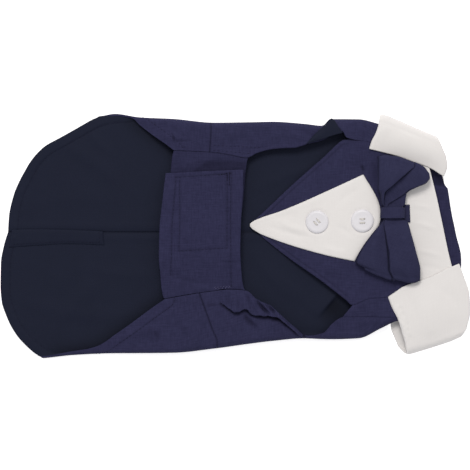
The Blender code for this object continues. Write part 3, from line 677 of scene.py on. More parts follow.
def ruled(sections, along, over):
    """Points of a ruled sheet, `along` its rails and `over` from the near rail to the far one, from 0 to 1."""
    stops = np.linspace(0, 1, len(sections))
    near_x, near_y, far_x, far_y = (smooth(along, stops, sections[key]) for key in sections.dtype.names[:4])
    return mix(near_x, far_x, over), mix(near_y, far_y, over)


def ruled_grid(sections, columns, rows):
    """Plan of a ruled sheet, with the share along and over for each point."""
    over, along = np.meshgrid(np.linspace(0, 1, rows), np.linspace(0, 1, columns), indexing="ij")
    x, y = ruled(sections, along, over)
    return x, y, along, over


def edge_distance(x, y):
    """How far each point of a plan grid lies from the sheet's edge."""
    plan = stacked(x, y)
    border = np.concatenate([plan[0], plan[1:, -1], plan[-1, -2::-1], plan[-2::-1, 0]])
    return away_from(border, plan)


VENT = table(
    SHEET,
    (-147.6, -7.9, -145.8, 3.6), (-130.0, -6.6, -130.0, 4.0), (-108.0, -5.6, -108.0, 3.6),
    (-85.5, -6.4, -86.5, 2.6),
)
x, y, along, over = ruled_grid(VENT, 70, 14)
lower = height_on([piece for piece, *_ in tail_faces.values()], x, y)
z = np.maximum(lower, CLOTH + 0.1 + 0.6 * over) + 0.1 + VENT_CLOTH
edge = edge_distance(x, y)
# The stitch line is painted a little darker, as painted shade in its groove.
line = bell(edge - VENT_STITCH_IN, 0.6)
# The strip puckers along its stitching towards its sewn end.
gathers = VENT_GATHER * np.sin(1.9 * x + 1.4 * np.sin(0.45 * x)) * smooth(x, (-122.0, -110.0), (0.0, 1.0))
gathers = gathers * bell(y - y[0], 4.5) * np.clip(edge / 1.5, 0, 1)
vent_relief = uneven(x, y, 6.0, 0.1) + gathers - VENT_EDGE_DROP * bell(edge, 1.3)
vent, vent_top, _ = cloth(
    "vent_facing_cloth", stacked(x, y, z), stacked(x, y), VENT_CLOTH,
    (lining, lining, lining), relief=vent_relief, shade=0.07 * line, roll=0.05,
)
vent_line = np.concatenate([vent_top[2, 4:-4], vent_top[2:-2, -4]])
vent_stitches = sew("vent_stitches", [vent_line], navy_thread)
declare(vent, "vent_facing")

# ---------------------------------------------------------------------------------------------------------------
# Body. Back and sides in one panel of the navy cloth, from the waist seam to the neck. Each leg opening is cut
# into its free edge, and the shoulder's cloth stands up in a ridge over the lining that is turned back there.
# ---------------------------------------------------------------------------------------------------------------
NECK = table(
    "across right left",
    (0.0, 107.0, 107.0), (1.0, 104.0, 110.0), (2.0, 100.0, 110.0), (3.0, 99.0, 110.0),
)
SHOULDER_RIDGE = table("y x", (61.0, 72.2), (63.3, 71.1), (68.5, 67.9), (72.5, 64.4), (75.7, 61.6))
RIDGE_RISE = 2.1
# A fold of the lining beside the left shoulder, with the deep shadow of the arm hole past it.
LINING_FOLD = np.array([(67.4, -37.6), (55.6, -51.6)])
FOLD_LENGTH = np.linalg.norm(LINING_FOLD[1] - LINING_FOLD[0])
FOLD_ALONG = (LINING_FOLD[1] - LINING_FOLD[0]) / FOLD_LENGTH
FOLD_ACROSS = np.array([-FOLD_ALONG[1], FOLD_ALONG[0]])
FREE_ROLL = 0.35


def drop_onto(piece, line, step=0.8, sink=0.05):
    """A line of the plan laid on a piece from above."""
    tree = BVHTree.FromObject(piece, bpy.context.evaluated_depsgraph_get())
    laid = []
    for start, end in zip(line[:-1], line[1:]):
        for share in np.linspace(0, 1, max(2, int(np.linalg.norm(end - start) / step)), endpoint=False):
            x, y = mix(start, end, share)
            hit = tree.ray_cast(Vector((x * MM, y * MM, ABOVE)), DOWN)[0]
            if hit is not None:
                laid.append((x, y, hit.z / MM - sink))
    return np.array(laid)


# The free edge of the left leg opening's turned hem, which presses a line into the side under it. The hem's shadow
# on the side is painted along a line a little below this edge.
HEM_FREE = table(
    "x y",
    (-9.5, -43.8), (-7.7, -44.6), (-5.3, -46.8), (-1.2, -49.2), (1.6, -49.5), (5.3, -47.6), (7.7, -48.0),
    (10.2, -50.4), (14.2, -51.6), (24.0, -52.0), (29.7, -54.0), (34.5, -57.2), (39.4, -61.6), (43.6, -64.8),
)
HEM_SHADOW_LINE = stacked(HEM_FREE.x, HEM_FREE.y - 0.8)
halves = []
for side in ("right", "left"):
    zones = (0.0, 1.0, 78), (1.0, 2.0, 15), (2.0, 3.0, 24)
    across = np.unique(np.concatenate([np.linspace(*zone) for zone in zones]))[:, None]
    start = smooth(across, WAIST.across, WAIST[side]) + WAIST_GAP / 2
    end = smooth(across, NECK.across, NECK[side])
    x = mix(start, end, np.linspace(0, 1, 142))
    grid, places = coat_cloth(side, x, np.broadcast_to(across, x.shape))
    relief = coat_relief(across, grid)
    top = np.clip(across - TOP_FROM, 0, 1)
    waist = bell(x - start, WAIST_LINE)
    plan, along_x = grid[..., :2], grid[..., 0]
    pressed = top * creases(PRESSED, along_x, grid[..., 1])
    hem_width = 0.9 + 0.9 * np.clip((along_x - 12) / 14, 0, 1)
    hem_shadow = top * bell(away_from(HEM_SHADOW_LINE, plan), hem_width)
    relief = relief - WAIST_DIP * top * waist + pressed - 0.25 * hem_shadow
    # Painted shade at the waist seam and in the pressed creases, and the turned hem's painted shadow on the side
    # below its free edge.
    outer_shade = np.maximum(0.4 * waist, 0.95 * hem_shadow) - 0.7 * pressed
    if side == "right":
        past_ridge = along_x - smooth(grid[..., 1], SHOULDER_RIDGE.y, SHOULDER_RIDGE.x)
        relief = relief + top * RIDGE_RISE * past_line(past_ridge, 0.35) * bell(np.maximum(past_ridge, 0), 7.0)
    # The free edge is turned, and rolls up a little beside the leg openings.
    free = np.linalg.norm(grid - grid[-1:], axis=-1)
    at_leg = np.clip((along_x - 10.0) / 4.0, 0, 1) * (free > 0) * np.clip((73 - along_x) / 4, 0, 1)
    relief = relief + FREE_ROLL * bell(free, 1.4) * at_leg
    past = (plan - LINING_FOLD[0]) @ FOLD_ACROSS
    beside = np.clip(1.2 - np.abs((plan - LINING_FOLD[0]) @ FOLD_ALONG / FOLD_LENGTH - 0.5) * 1.6, 0, 1)
    on_back = np.broadcast_to(across < 1, past.shape) * beside
    raised = 1.6 * on_back * bell(np.minimum(past, 0), 7.0) * past_line(-past, 0.3)
    # The arm hole's deep shadow past the lining fold is painted into the lining's colour.
    shade = 0.7 * on_back * bell(np.maximum(past, 0), 15.0) * past_line(past, 0.4)
    halves.append((grid, places, relief - raised, shade, outer_shade))
grid, places, relief, shade, outer_shade = (
    np.concatenate([right[::-1], left[1:]]) for right, left in zip(*halves)
)
from_middle = np.abs(places[..., 1])
inner = -0.35 * bell(from_middle, 1.2) + 0.2 * bell(from_middle - 4.0, 2.0)
# The lining is painted darker along the middle seam, as painted shade in it.
body, _, _ = cloth(
    "body_cloth", grid, places, CLOTH, (navy, lining, navy), relief, inner, shade=outer_shade,
    inner_shade=np.maximum(shade, 0.4 * bell(from_middle, 0.8)), roll=0.1, floor_z=0.0,
)
BELLY_ROWS = (((-13.6, 58.4), (16.0, 57.0)), ((-13.8, 55.2), (9.0, 53.2)))
belly_lines = [drop_onto(body, np.array(row)) for row in BELLY_ROWS]
belly_stitches = sew("belly_seam_stitches", belly_lines, navy_thread)
declare(body, "body")

# ---------------------------------------------------------------------------------------------------------------
# Chest panel and left shoulder. The V of navy cloth between the shoulders, sewn to the neck band at its top, and
# the small shoulder piece that joins it to the body on the dog's left.
# ---------------------------------------------------------------------------------------------------------------
CHEST_HEIGHTS = table(
    "x top",
    (11.0, 2.7), (22.0, 3.1), (40.0, 4.8), (60.0, 7.0), (71.0, 8.0), (82.0, 8.3), (95.0, 9.5),
    (118.0, 9.5),
)
CHEST_CROWN = 0.7
CROWN_ALONG = table("x share", (30.0, 0.0), (60.0, 1.0), (82.0, 1.0), (93.0, 0.0))
NECKLINE = table(
    "y x",
    (-50.0, 119.5), (-37.0, 117.3), (-25.7, 114.4), (-3.0, 109.6), (23.0, 106.8), (45.8, 105.4),
    (58.0, 104.6),
)
CHEST = table(
    SHEET,
    (11.6, 5.0, 11.6, 9.4), (17.0, -0.6, 17.6, 14.6), (35.4, -15.3, 35.4, 31.5),
    (54.9, -29.0, 54.9, 48.8), (71.0, -41.4, 70.4, 62.0), (76.3, -45.2, 75.5, 61.9),
    (87.4, -41.0, 86.0, 60.1), (98.0, -40.3, 96.0, 58.4), (117.0, -38.4, 104.4, 57.2),
)
CHEST_CREASES = table(
    CREASE,
    (58.0, 36.0, 84.0, 56.0, 1.0, 3.6, 0.5),
    (84.0, 52.0, 90.0, 40.0, 0.5, 2.2, 0.5),
    (52.0, -16.0, 82.0, -32.0, -1.0, 3.6, 0.4),
    (60.0, -26.0, 92.0, -37.0, 1.0, 2.6, -0.3),
    (90.0, -28.0, 108.0, -34.0, 0.6, 2.6, 0.4),
)
CHEST_PUCKER = table(CREASE, (81.2, 46.0, 83.2, 41.4, 0.3, 0.9, -1.0))
# The V's edges are turned under: they round off by the first value and are stitched down at the second.
CHEST_TURN, CHEST_STITCH_IN = 0.25, 2.5


def chest_top(x, y):
    """The chest rises from the back's lining to the shoulders and is a little fuller along its middle."""
    full = np.maximum(0.0, 1 - ((y - 8.0) / 48.0) ** 2)
    crown = CHEST_CROWN * full * smooth(x, CROWN_ALONG.x, CROWN_ALONG.share)
    return smooth(x, CHEST_HEIGHTS.x, CHEST_HEIGHTS.top) + crown


x, y, along, over = ruled_grid(CHEST, 120, 110)
bend = smooth(along, (0, 1 - 1 / (len(CHEST) - 1), 1), (0, 0, 1))
x = mix(x, smooth(y, NECKLINE.y, NECKLINE.x) - SEAM_GAP / 2, bend)
y = y + (SEAM_Y + smooth(x, EDGES.x, EDGES.right) - 0.1 - y[-1:]) * over**8 * np.clip((x - 72) / 4, 0, 1)
edge = edge_distance(x, y)
free = np.clip((75 - x) / 3, 0, 1)
turned = CHEST_TURN * np.clip(edge / 1.2, 0, 1) - CHEST_TURN - 0.3 * bell(edge - CHEST_STITCH_IN, 0.6)
pucker = creases(CHEST_PUCKER, x, y)
chest_relief = creases(CHEST_CREASES, x, y) * np.clip(edge / 3, 0, 1) + uneven(x, y, 14.0, 0.1)
# The stitch line along the V's edges and the pucker's trough are painted darker, as painted shade.
chest, _, _ = cloth(
    "chest_panel_cloth", stacked(x, y, chest_top(x, y)), stacked(x, y), CLOTH, (navy, lining, navy),
    chest_relief + turned * free + pucker,
    shade=0.25 * bell(edge - CHEST_STITCH_IN, 0.5) * free - 0.6 * pucker, roll=0.15,
)
declare(chest, "chest_panel")

along, over = np.meshgrid(np.linspace(0, 1, 50), np.linspace(0, 1, 20))
seam_grid, _ = coat_cloth("left", mix(69.5, 108.5, along), np.full_like(along, 3.0))
chest_seam = table("along section", (0.0, 4.95), (0.17, 5.3), (0.4, 5.8), (0.7, 6.9), (1.0, 7.6))
section = smooth(along, chest_seam.along, chest_seam.section) / (len(CHEST) - 1)
chest_x, chest_y = ruled(CHEST, section, 0.0)
gap = 0.08
x, y = mix(seam_grid[..., 0], chest_x, over), mix(seam_grid[..., 1] + gap, chest_y - gap, over)
z = mix(seam_grid[..., 2], chest_top(chest_x, chest_y), over)
puffed = 0.35 * np.sin(math.pi * over) + uneven(x, y, 8.0, 0.1)
shoulder, _, _ = cloth(
    "shoulder_left_cloth", stacked(x, y, z), stacked(x, y), CLOTH, (navy, lining, navy),
    puffed, roll=0.1,
)
declare(shoulder, "shoulder_left")

# ---------------------------------------------------------------------------------------------------------------
# Shirt front. A kite of warm white cotton over thin interlining, its edges turned under and sewn to the chest.
# ---------------------------------------------------------------------------------------------------------------
SHIRT_CLOTH = 1.1
SHIRT = table(
    SHEET,
    (9.4, 5.9, 9.4, 7.6), (11.0, 4.2, 11.6, 9.2), (16.0, 1.2, 18.0, 11.9), (28.0, -3.6, 28.0, 15.2),
    (42.0, -8.2, 42.0, 20.9), (61.0, -13.3, 61.0, 29.4), (77.0, -16.6, 82.8, 39.4),
)
SHIRT_CREASES = table(
    CREASE,
    (22.0, 6.0, 50.0, -1.7, -1.0, 1.8, -0.3),
    (29.0, 8.8, 46.0, 3.0, -1.0, 2.2, 0.45),
    (66.0, 5.8, 76.0, -0.5, 0.6, 1.8, -0.45),
    (40.0, 19.0, 58.0, 24.0, 0.8, 2.6, 0.3),
    (66.0, 20.0, 80.0, 30.0, 1.2, 2.4, -0.3),
    (24.0, 12.0, 40.0, 13.0, 0.5, 2.6, -0.25),
    (56.0, -7.0, 72.0, -12.0, -0.8, 2.2, 0.3),
)
ROUND_END, STRAIGHT_TO = 14.0, 0.83
BUTTONS = (("button_lower", 52.9, 8.7, 0.0), ("button_upper", 82.2, 9.4, math.pi / 4))
BUTTON_RADIUS, BUTTON_SINKS = 7.5, 0.6

# Bleached cotton, unbleached a little by its warm ground. Its threads are 0.3 mm apart, drawn at 1.0 mm.
white = woven("warm_white_cotton", "#dedbda", "#e6e4e3", 1.0, 0.16, 0.9, 0.03, 0.015)

x, y, along, over = ruled_grid(SHIRT, 110, 80)
out = ROUND_END * smooth(along, (0, STRAIGHT_TO, 1), (0, 0, 1))
x = x + out * np.sin(math.pi * over) ** 1.1
edge = edge_distance(x, y)
pressed_edge = 0.35 * np.clip(edge / 1.4, 0, 1) ** 0.6 - 0.35
shirt_relief = creases(SHIRT_CREASES, x, y) * np.clip(edge / 4, 0, 1)
shirt_relief = shirt_relief + pressed_edge + uneven(x, y, 12.0, 0.09)
# The cloth gives way a little under each button.
for _, button_x, button_y, _ in BUTTONS:
    from_button = np.hypot(x - button_x, y - button_y)
    shirt_relief -= BUTTON_SINKS * past_line(BUTTON_RADIUS + 0.5 - from_button, 0.35)
shirt, _, _ = cloth(
    "shirt_front_cloth", stacked(x, y, chest_top(x, y) + SEAM_GAP + SHIRT_CLOTH), stacked(x, y),
    SHIRT_CLOTH, (white, white, white), shirt_relief, roll=0.2,
)
declare(shirt, "shirt_front")

# ---------------------------------------------------------------------------------------------------------------
# Buttons. Two clear resin four-hole buttons, 24 ligne, sewn on with two bars of white thread each.
# ---------------------------------------------------------------------------------------------------------------
HOLE_RADIUS, HOLE_PITCH, HOLE_DEPTH = 0.65, 1.75, 8.0
STRAND_SHIFT, BAR_PAST_HOLE, BAR_FOOT, BAR_LOW, BAR_ARCH = 0.36, 0.25, 0.1, 0.85, 0.5

# Cast polyester resin, polished: nearly colourless, it takes the cotton's white and cools it.
resin, resin_tree, resin_shader = new_paint("cast_clear_resin", {
    "Roughness": 0.35, "IOR": 1.5, "Specular IOR Level": 0.35,
})
resin_place = add(resin_tree, "ShaderNodeTexCoord")
resin_cloud = add(
    resin_tree, "ShaderNodeTexNoise", {"Vector": resin_place.outputs["Object"], "Scale": 260.0, "Detail": 2.0},
)
resin_tone = add(
    resin_tree, "ShaderNodeMix",
    {"Factor": resin_cloud.outputs["Fac"], 6: linear("#dcdbe0"), 7: linear("#e2e1e6")},
    data_type="RGBA",
)
resin_tree.links.new(resin_tone.outputs[2], resin_shader.inputs["Base Color"])
white_thread = polyester_thread("white_polyester_thread", "#e9e6e2")

for name, x, y, quarter in BUTTONS:
    low, high = chest_top(x - BUTTON_RADIUS, y), chest_top(x + BUTTON_RADIUS, y)
    crown = max(0.0, float(chest_top(x, y) - (low + high) / 2))
    slope = math.atan2(high - low, 2 * BUTTON_RADIUS)
    base = (low + high) / 2 + SEAM_GAP + SHIRT_CLOTH + crown + SEAM_GAP - BUTTON_SINKS
    rim = BUTTON_RADIUS
    profile = (
        (0.0, 1.0), (4.0, 1.0), (4.7, 1.03), (5.3, 1.09), (5.9, 1.12), (6.4, 1.04), (6.9, 0.84),
        (7.2, 0.62), (rim - 0.1, 0.38), (rim, 0.1), (rim - 0.02, -0.2), (rim - 0.2, -0.3), (5.4, -0.3),
        (0.0, -0.3),
    )
    outline = bpy.data.meshes.new(name + "_profile")
    profile_edges = [(i, i + 1) for i in range(len(profile) - 1)]
    outline.from_pydata([(r * MM, 0, z * MM) for r, z in profile], profile_edges, [])
    outline.materials.append(resin)
    button = bpy.data.objects.new(name + "_resin", outline)
    bpy.context.scene.collection.objects.link(button)
    screw = button.modifiers.new("turn", "SCREW")
    screw.steps = screw.render_steps = 72
    screw.use_merge_vertices = True
    screw.merge_threshold = 0.00001
    screw.use_smooth_shade = True
    hole_places = [
        (HOLE_PITCH * math.cos(angle), HOLE_PITCH * math.sin(angle))
        for angle in (math.pi / 2 * hole + quarter for hole in range(4))
    ]
    drills = []
    for hole_x, hole_y in hole_places:
        bpy.ops.mesh.primitive_cylinder_add(
            vertices=24, radius=HOLE_RADIUS * MM, depth=HOLE_DEPTH * MM,
            location=(hole_x * MM, hole_y * MM, 0),
        )
        drills.append(bpy.context.object)
        drill = button.modifiers.new("hole", "BOOLEAN")
        drill.operation = "DIFFERENCE"
        drill.object = drills[-1]
    bars = []
    for start, end in ((0, 1), (3, 2)):
        ends = np.array([hole_places[start], hole_places[end]])
        ends += BAR_PAST_HOLE * (ends - ends[::-1]) / np.linalg.norm(ends[1] - ends[0])
        t = np.linspace(0, 1, 9)[:, None]
        arch = BAR_LOW + BAR_ARCH * np.sin(math.pi * t) ** 0.5
        line = np.concatenate([mix(ends[0], ends[1], t), arch], axis=1)
        # Each bar goes down through its two holes.
        bars.append(np.array([(*ends[0], BAR_FOOT), *line, (*ends[1], BAR_FOOT)]))
    made = bpy.data.meshes.new_from_object(button.evaluated_get(bpy.context.evaluated_depsgraph_get()))
    button.modifiers.clear()
    button.data = made
    made.set_sharp_from_angle(angle=math.radians(50))
    for drill in drills:
        bpy.data.objects.remove(drill, do_unlink=True)
    rise, run = math.sin(slope), math.cos(slope)
    turn = np.array([[run, 0, -rise], [0, 1, 0], [rise, 0, run]])
    points = np.empty(len(made.vertices) * 3)
    made.vertices.foreach_get("co", points)
    points = points.reshape(-1, 3) @ turn.T + np.array([x, y, base]) * MM
    made.vertices.foreach_set("co", points.ravel())
    made.update()
    strands = []
    for line in bars:
        for shift in (-STRAND_SHIFT, 0.0, STRAND_SHIFT):
            across_bar = np.cross(line[-1] - line[0], (0, 0, 1))
            across_bar /= np.linalg.norm(across_bar)
            strands.append((line + shift * across_bar) @ turn.T + np.array([x, y, base]))
    thread = sew(name + "_thread", strands, white_thread, pitch=0.22, length=0.5, width=0.5)
    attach(button, "root")
    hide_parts(name)

# ---------------------------------------------------------------------------------------------------------------
# Leg openings. On the dog's right the edge is turned back over the side, so its lining shows as a dark triangle.
# On the left the turned hem is gathered on its stitching and lies over the side in soft puckers.
# ---------------------------------------------------------------------------------------------------------------
LINING_TURNED = table(
    SHEET,
    (45.8, 59.2, 46.6, 60.2), (51.0, 60.9, 50.6, 64.6), (57.0, 62.8, 56.4, 70.2), (64.0, 65.2, 62.4, 75.6),
    (69.6, 66.7, 67.8, 68.8),
)
x, y, along, over = ruled_grid(LINING_TURNED, 46, 24)
z = np.full_like(x, FOLDS.rise_right.max() + SEAM_GAP + CLOTH)
z += 0.5 * np.sin(math.pi * np.clip(over * 1.1, 0, 1)) * np.sin(math.pi * along) ** 0.6
leg_right, _, _ = cloth(
    "leg_hem_right_lining", stacked(x, y, z), stacked(x, y), CLOTH, (lining, navy, lining),
    uneven(x, y, 5.0, 0.12), roll=0.3,
)
declare(leg_right, "leg_hem_right")

HEM_CURL = table(
    "x rise",
    (-9.5, 0.1), (-4.0, 1.4), (0.0, 2.0), (8.0, 1.9), (18.0, 2.0), (26.0, 2.2), (36.0, 2.0),
    (43.6, 0.8),
)
# Puckers of the gathered hem.
PUCKERS = table(
    CREASE,
    (-6.0, -40.0, -4.6, -45.0, 0.4, 1.1, -0.3),
    (-2.6, -39.0, -0.6, -47.5, 0.3, 1.4, 0.5),
    (0.6, -41.5, 2.6, -47.0, 0.5, 1.1, -0.4),
    (4.0, -39.5, 6.5, -46.5, 0.4, 1.5, 0.6),
    (7.2, -38.6, 9.6, -46.5, 0.4, 1.2, -0.6),
    (10.4, -41.0, 15.0, -50.0, -0.4, 1.4, 1.2),
    (14.0, -42.2, 21.4, -50.6, -0.6, 0.9, -1.8),
    (17.8, -43.8, 24.2, -51.0, -0.4, 0.9, 1.4),
    (21.3, -45.4, 26.6, -50.6, -0.3, 0.9, -1.6),
    (24.6, -48.0, 30.0, -53.0, -0.4, 0.9, 0.9),
)
inward, along = np.meshgrid(np.linspace(0, 1, 40), np.linspace(0, 1, 150), indexing="ij")
x = mix(HEM_FREE.x[0], HEM_FREE.x[-1], along)
opening = SEAM_Y - smooth(x, EDGES.x, EDGES.left)
wavy = 0.25 * np.sin(0.95 * x + 1.1 * np.sin(0.31 * x))
free = np.minimum(smooth(x, HEM_FREE.x, HEM_FREE.y) + wavy, opening - 1.5)
y = mix(opening, free, inward)
curl = smooth(x, HEM_CURL.x, HEM_CURL.rise) * (1 + 0.25 * np.sin(0.8 * x + 1.0))
puckered = creases(PUCKERS, x, y)
rise = SEAM_GAP + CLOTH + puckered + curl * smooth(inward, (0.0, 0.5, 1.0), (0.0, 0.25, 1.0))
rise = rise * smooth(x, (-9.5, -2.0), (0.0, 1.0)) + 0.03
side_top = FOLDS.rise_left.max()
grid = stacked(x, y, side_top + rise - 0.4 * np.clip(1 - 6 * inward, 0, 1))
places = stacked(x, y)
# The puckers' troughs are painted darker, as painted shade.
leg_left, _, _ = cloth(
    "leg_hem_left_cloth", grid[::-1], places[::-1], CLOTH, (navy, lining, navy),
    shade=np.clip(-0.45 * puckered, 0, 0.5)[::-1], roll=0.35,
)
declare(leg_left, "leg_hem_left")

# ---------------------------------------------------------------------------------------------------------------
# Belly band. The right flap runs under the left one; a hook tape and a loop tape hold them. The over flap is
# boxed with two rows of topstitching that also hold the tape behind it.
# ---------------------------------------------------------------------------------------------------------------
TAPE = 1.0
UNDER_FLAP_TOP, FLAP_SEAM_TOP = 7.4, 8.0
OVER_FLAP_TOP = UNDER_FLAP_TOP + 2 * (SEAM_GAP + TAPE) + SEAM_GAP + CLOTH
UNDER_FLAP = table(
    SHEET,
    (-39.8, 54.6, 8.2, 49.7), (-42.0, 41.4, 6.4, 41.4), (-42.6, 23.0, 5.0, 23.0),
    (-43.2, 3.5, 2.4, 3.5), (-43.2, -13.2, 1.6, -13.2),
)
OVER_FLAP = table(
    SHEET,
    (-45.2, 40.2, 4.9, 42.6), (-47.2, 23.4, 4.8, 29.5), (-49.2, 3.5, 3.4, 10.0),
    (-49.6, -13.0, 2.9, -9.8), (-48.6, -26.0, 3.4, -19.4), (-46.2, -40.6, 6.0, -34.4),
)
UNDER_CREASES = table(
    CREASE,
    (-36.0, 44.5, -14.0, 50.5, 0.8, 2.6, 0.6),
    (-22.0, 43.6, 4.0, 49.0, -0.6, 3.0, -0.6),
)
OVER_CREASES = table(
    CREASE,
    (-7.6, 39.2, -3.6, 34.6, 0.3, 1.3, -0.9),
    (-7.0, 34.0, -4.0, 30.0, 0.3, 1.1, -0.4),
    (-41.0, -26.4, -17.0, -32.0, -0.8, 1.5, -0.7),
    (-36.0, -22.0, -14.0, -27.0, 0.8, 2.6, 0.35),
    (-11.0, -17.6, 2.6, -18.2, 0.3, 1.0, -0.45),
    (-12.0, 8.0, 0.0, 4.0, 0.6, 2.2, 0.3),
    (-34.0, 10.0, -12.0, 6.0, 1.0, 5.0, 0.4),
    (-30.0, 30.0, -14.0, 24.0, 1.0, 5.0, 0.35),
    (-46.0, 16.0, -42.0, -8.0, 0.4, 1.8, 0.3),
    (-24.0, -34.0, -8.0, -37.0, 0.4, 1.6, 0.45),
)
BOX_ROWS = (
    ((-38.6, 37.6), (-41.2, 6.8), (-42.0, -26.0)),
    ((-36.2, 37.6), (-36.2, 6.8), (-36.8, -10.2), (-5.6, -8.2), (-5.4, 39.6)),
    ((-38.6, 37.6), (-20.0, 38.9), (-2.8, 40.2)),
    ((-2.8, 40.2), (-3.4, 8.0), (-2.8, -33.4)),
)
LOOSE_ROWS = (((-13.4, -33.6), (-3.4, -33.2)), ((-12.8, -34.5), (-4.0, -34.1)))
KNOT_ROWS = (
    ((-10.6, 39.2), (-8.0, 39.6), (-5.4, 40.2)), ((-4.1, 40.6), (-4.0, 32.4)),
    ((-5.5, 39.0), (-5.5, 35.4)),
)
ROW_DENT, FLAP_TURN = 0.3, 0.2

x, y, along, over = ruled_grid(UNDER_FLAP, 90, 62)
seam = SEAM_Y + smooth(x, EDGES.x, EDGES.right) - SEAM_GAP
y = mix(seam, y, smooth(along, (0.0, 0.2), (0, 1)))
z = mix(UNDER_FLAP_TOP, FLAP_SEAM_TOP, smooth(y, (40.0, 50.0), (0, 1)))
# Painted shade: the flap is painted a little darker all over for the shade it lies in, and darker still past a
# fold beside the over flap.
fold_line = np.minimum(49.0, 42.5 + 0.72 * (x + 27.7))
under_shade = 0.12 + 0.26 * np.clip((fold_line - y) / 1.6, 0, 1)
under_flap, _, _ = cloth(
    "belly_flap_right_cloth", stacked(x, y, z), stacked(x, y), CLOTH, (navy, lining, navy),
    creases(UNDER_CREASES, x, y) + uneven(x, y, 10.0, 0.08), shade=under_shade, roll=0.2,
)
declare(
    under_flap, "belly_flap_right",
)

x, y, along, over = ruled_grid(OVER_FLAP, 110, 66)
seam = SEAM_Y - smooth(x, EDGES.x, EDGES.left) + SEAM_GAP
y = mix(y, seam, smooth(along, (0.8, 1.0), (0, 1)))
low = smooth(along, (0.0, 0.08, 0.6, 0.7, 0.94, 1.0), (0.06, 0.0, 0.0, 0.12, 0.94, 1.0))
flap_plan = stacked(x, y)
rows_of_stitches = [np.array(row) for row in BOX_ROWS]
dent = sum(bell(away_from(line, flap_plan), 0.75) for line in rows_of_stitches)
edge = edge_distance(x, y)
flap_relief = creases(OVER_CREASES, x, y) + uneven(x, y, 13.0, 0.14) - ROW_DENT * dent
flap_relief = flap_relief + FLAP_TURN * np.clip(edge / 1.6, 0, 1) - FLAP_TURN
# The stitch rows' dents are painted darker, as painted shade.
over_flap, _, _ = cloth(
    "belly_flap_left_cloth", stacked(x, y, mix(OVER_FLAP_TOP, FLAP_SEAM_TOP, low)), flap_plan, CLOTH,
    (navy, lining, navy), flap_relief, shade=0.22 * np.clip(dent, 0, 1), roll=0.25,
)
box_lines = [drop_onto(over_flap, line) for line in rows_of_stitches]
# The machine's back-stitched knots at the corner of the box, and loose light ends at the seam.
knot_lines, loose_lines = (
    [drop_onto(over_flap, np.array(row), 0.4, -0.1) for row in rows] for rows in (KNOT_ROWS, LOOSE_ROWS)
)
flap_stitches = [
    sew("belly_flap_stitches", box_lines, navy_thread),
    sew("belly_flap_knots", knot_lines, dark_thread, pitch=1.3, length=1.2, width=0.5),
    sew("belly_flap_loose_ends", loose_lines, pale_thread, pitch=1.9, length=0.9, width=0.3),
]
declare(
    over_flap, "belly_flap_left",
)

# Hook and loop tape: knitted nylon pile, matt and near black between the flaps.
pile = woven("nylon_pile_tape", "#10111a", "#191b26", 0.9, 0.3, 0.95, 0.2, 0.15)
TAPE_SHEET = table(SHEET, (-36.6, 38.8, -4.2, 38.8), (-36.6, -9.4, -4.2, -9.4))
TAPES = ("loop_patch", "belly_flap_right_cloth"), ("hook_patch", "loop_patch_tape")
x, y, along, over = ruled_grid(TAPE_SHEET, 50, 34)
for level, (node, below) in enumerate(TAPES, start=1):
    z = UNDER_FLAP_TOP + level * (SEAM_GAP + TAPE)
    tape, _, _ = cloth(
        node + "_tape", stacked(x, y, z), stacked(x, y), TAPE, (pile, pile, pile), roll=0.1,
    )
    declare(tape, node)

# ---------------------------------------------------------------------------------------------------------------
# Neck. The inside of the stand is navy with its lining showing at the dog's right; the white band is its front.
# Both stand up at the sides and lie between the two wings of the collar.
# ---------------------------------------------------------------------------------------------------------------
STAND_RISE = 8.0
BAND_TOP = NECK_LIFT + STAND_RISE
STAND = table("share right left", (0.0, 66.4, 56.4), (0.5, 63.6, 55.9), (1.0, 58.6, 55.4))
FACING_EDGE = table(
    "across x",
    (-3.0, 126.0), (-2.0, 126.5), (-1.5, 127.0), (-1.0, 130.0), (-0.5, 136.8), (-0.25, 139.5),
    (0.0, 142.9), (0.35, 146.8), (1.0, 145.0), (1.5, 143.8), (2.0, 143.2), (3.0, 143.0),
)
BAND_EDGE = table(
    "y top_x",
    (-48.5, 143.0), (-42.0, 142.8), (-25.7, 141.2), (-9.5, 137.6), (8.7, 133.8), (26.3, 130.0),
    (45.1, 125.2), (57.0, 122.0),
)
SIDE_GAP = 1.6
# Past this y the facing's lining shows, painted as navy darkened both for the lining's darker tone and for the
# shade in the hollow under the collar's upper wing. The navy before it is thicker and stands out.
LINING_FROM, FACING_LIFT, STANDS_OUT = 32.0, 0.7, 1.5


def by_side(across, at, rows, right="right", left="left"):
    """A table read along its first column: its right column where across is negative, its left one past it."""
    at_rows = rows[rows.dtype.names[0]]
    return np.where(across < 0, smooth(at, at_rows, rows[right]), smooth(at, at_rows, rows[left]))


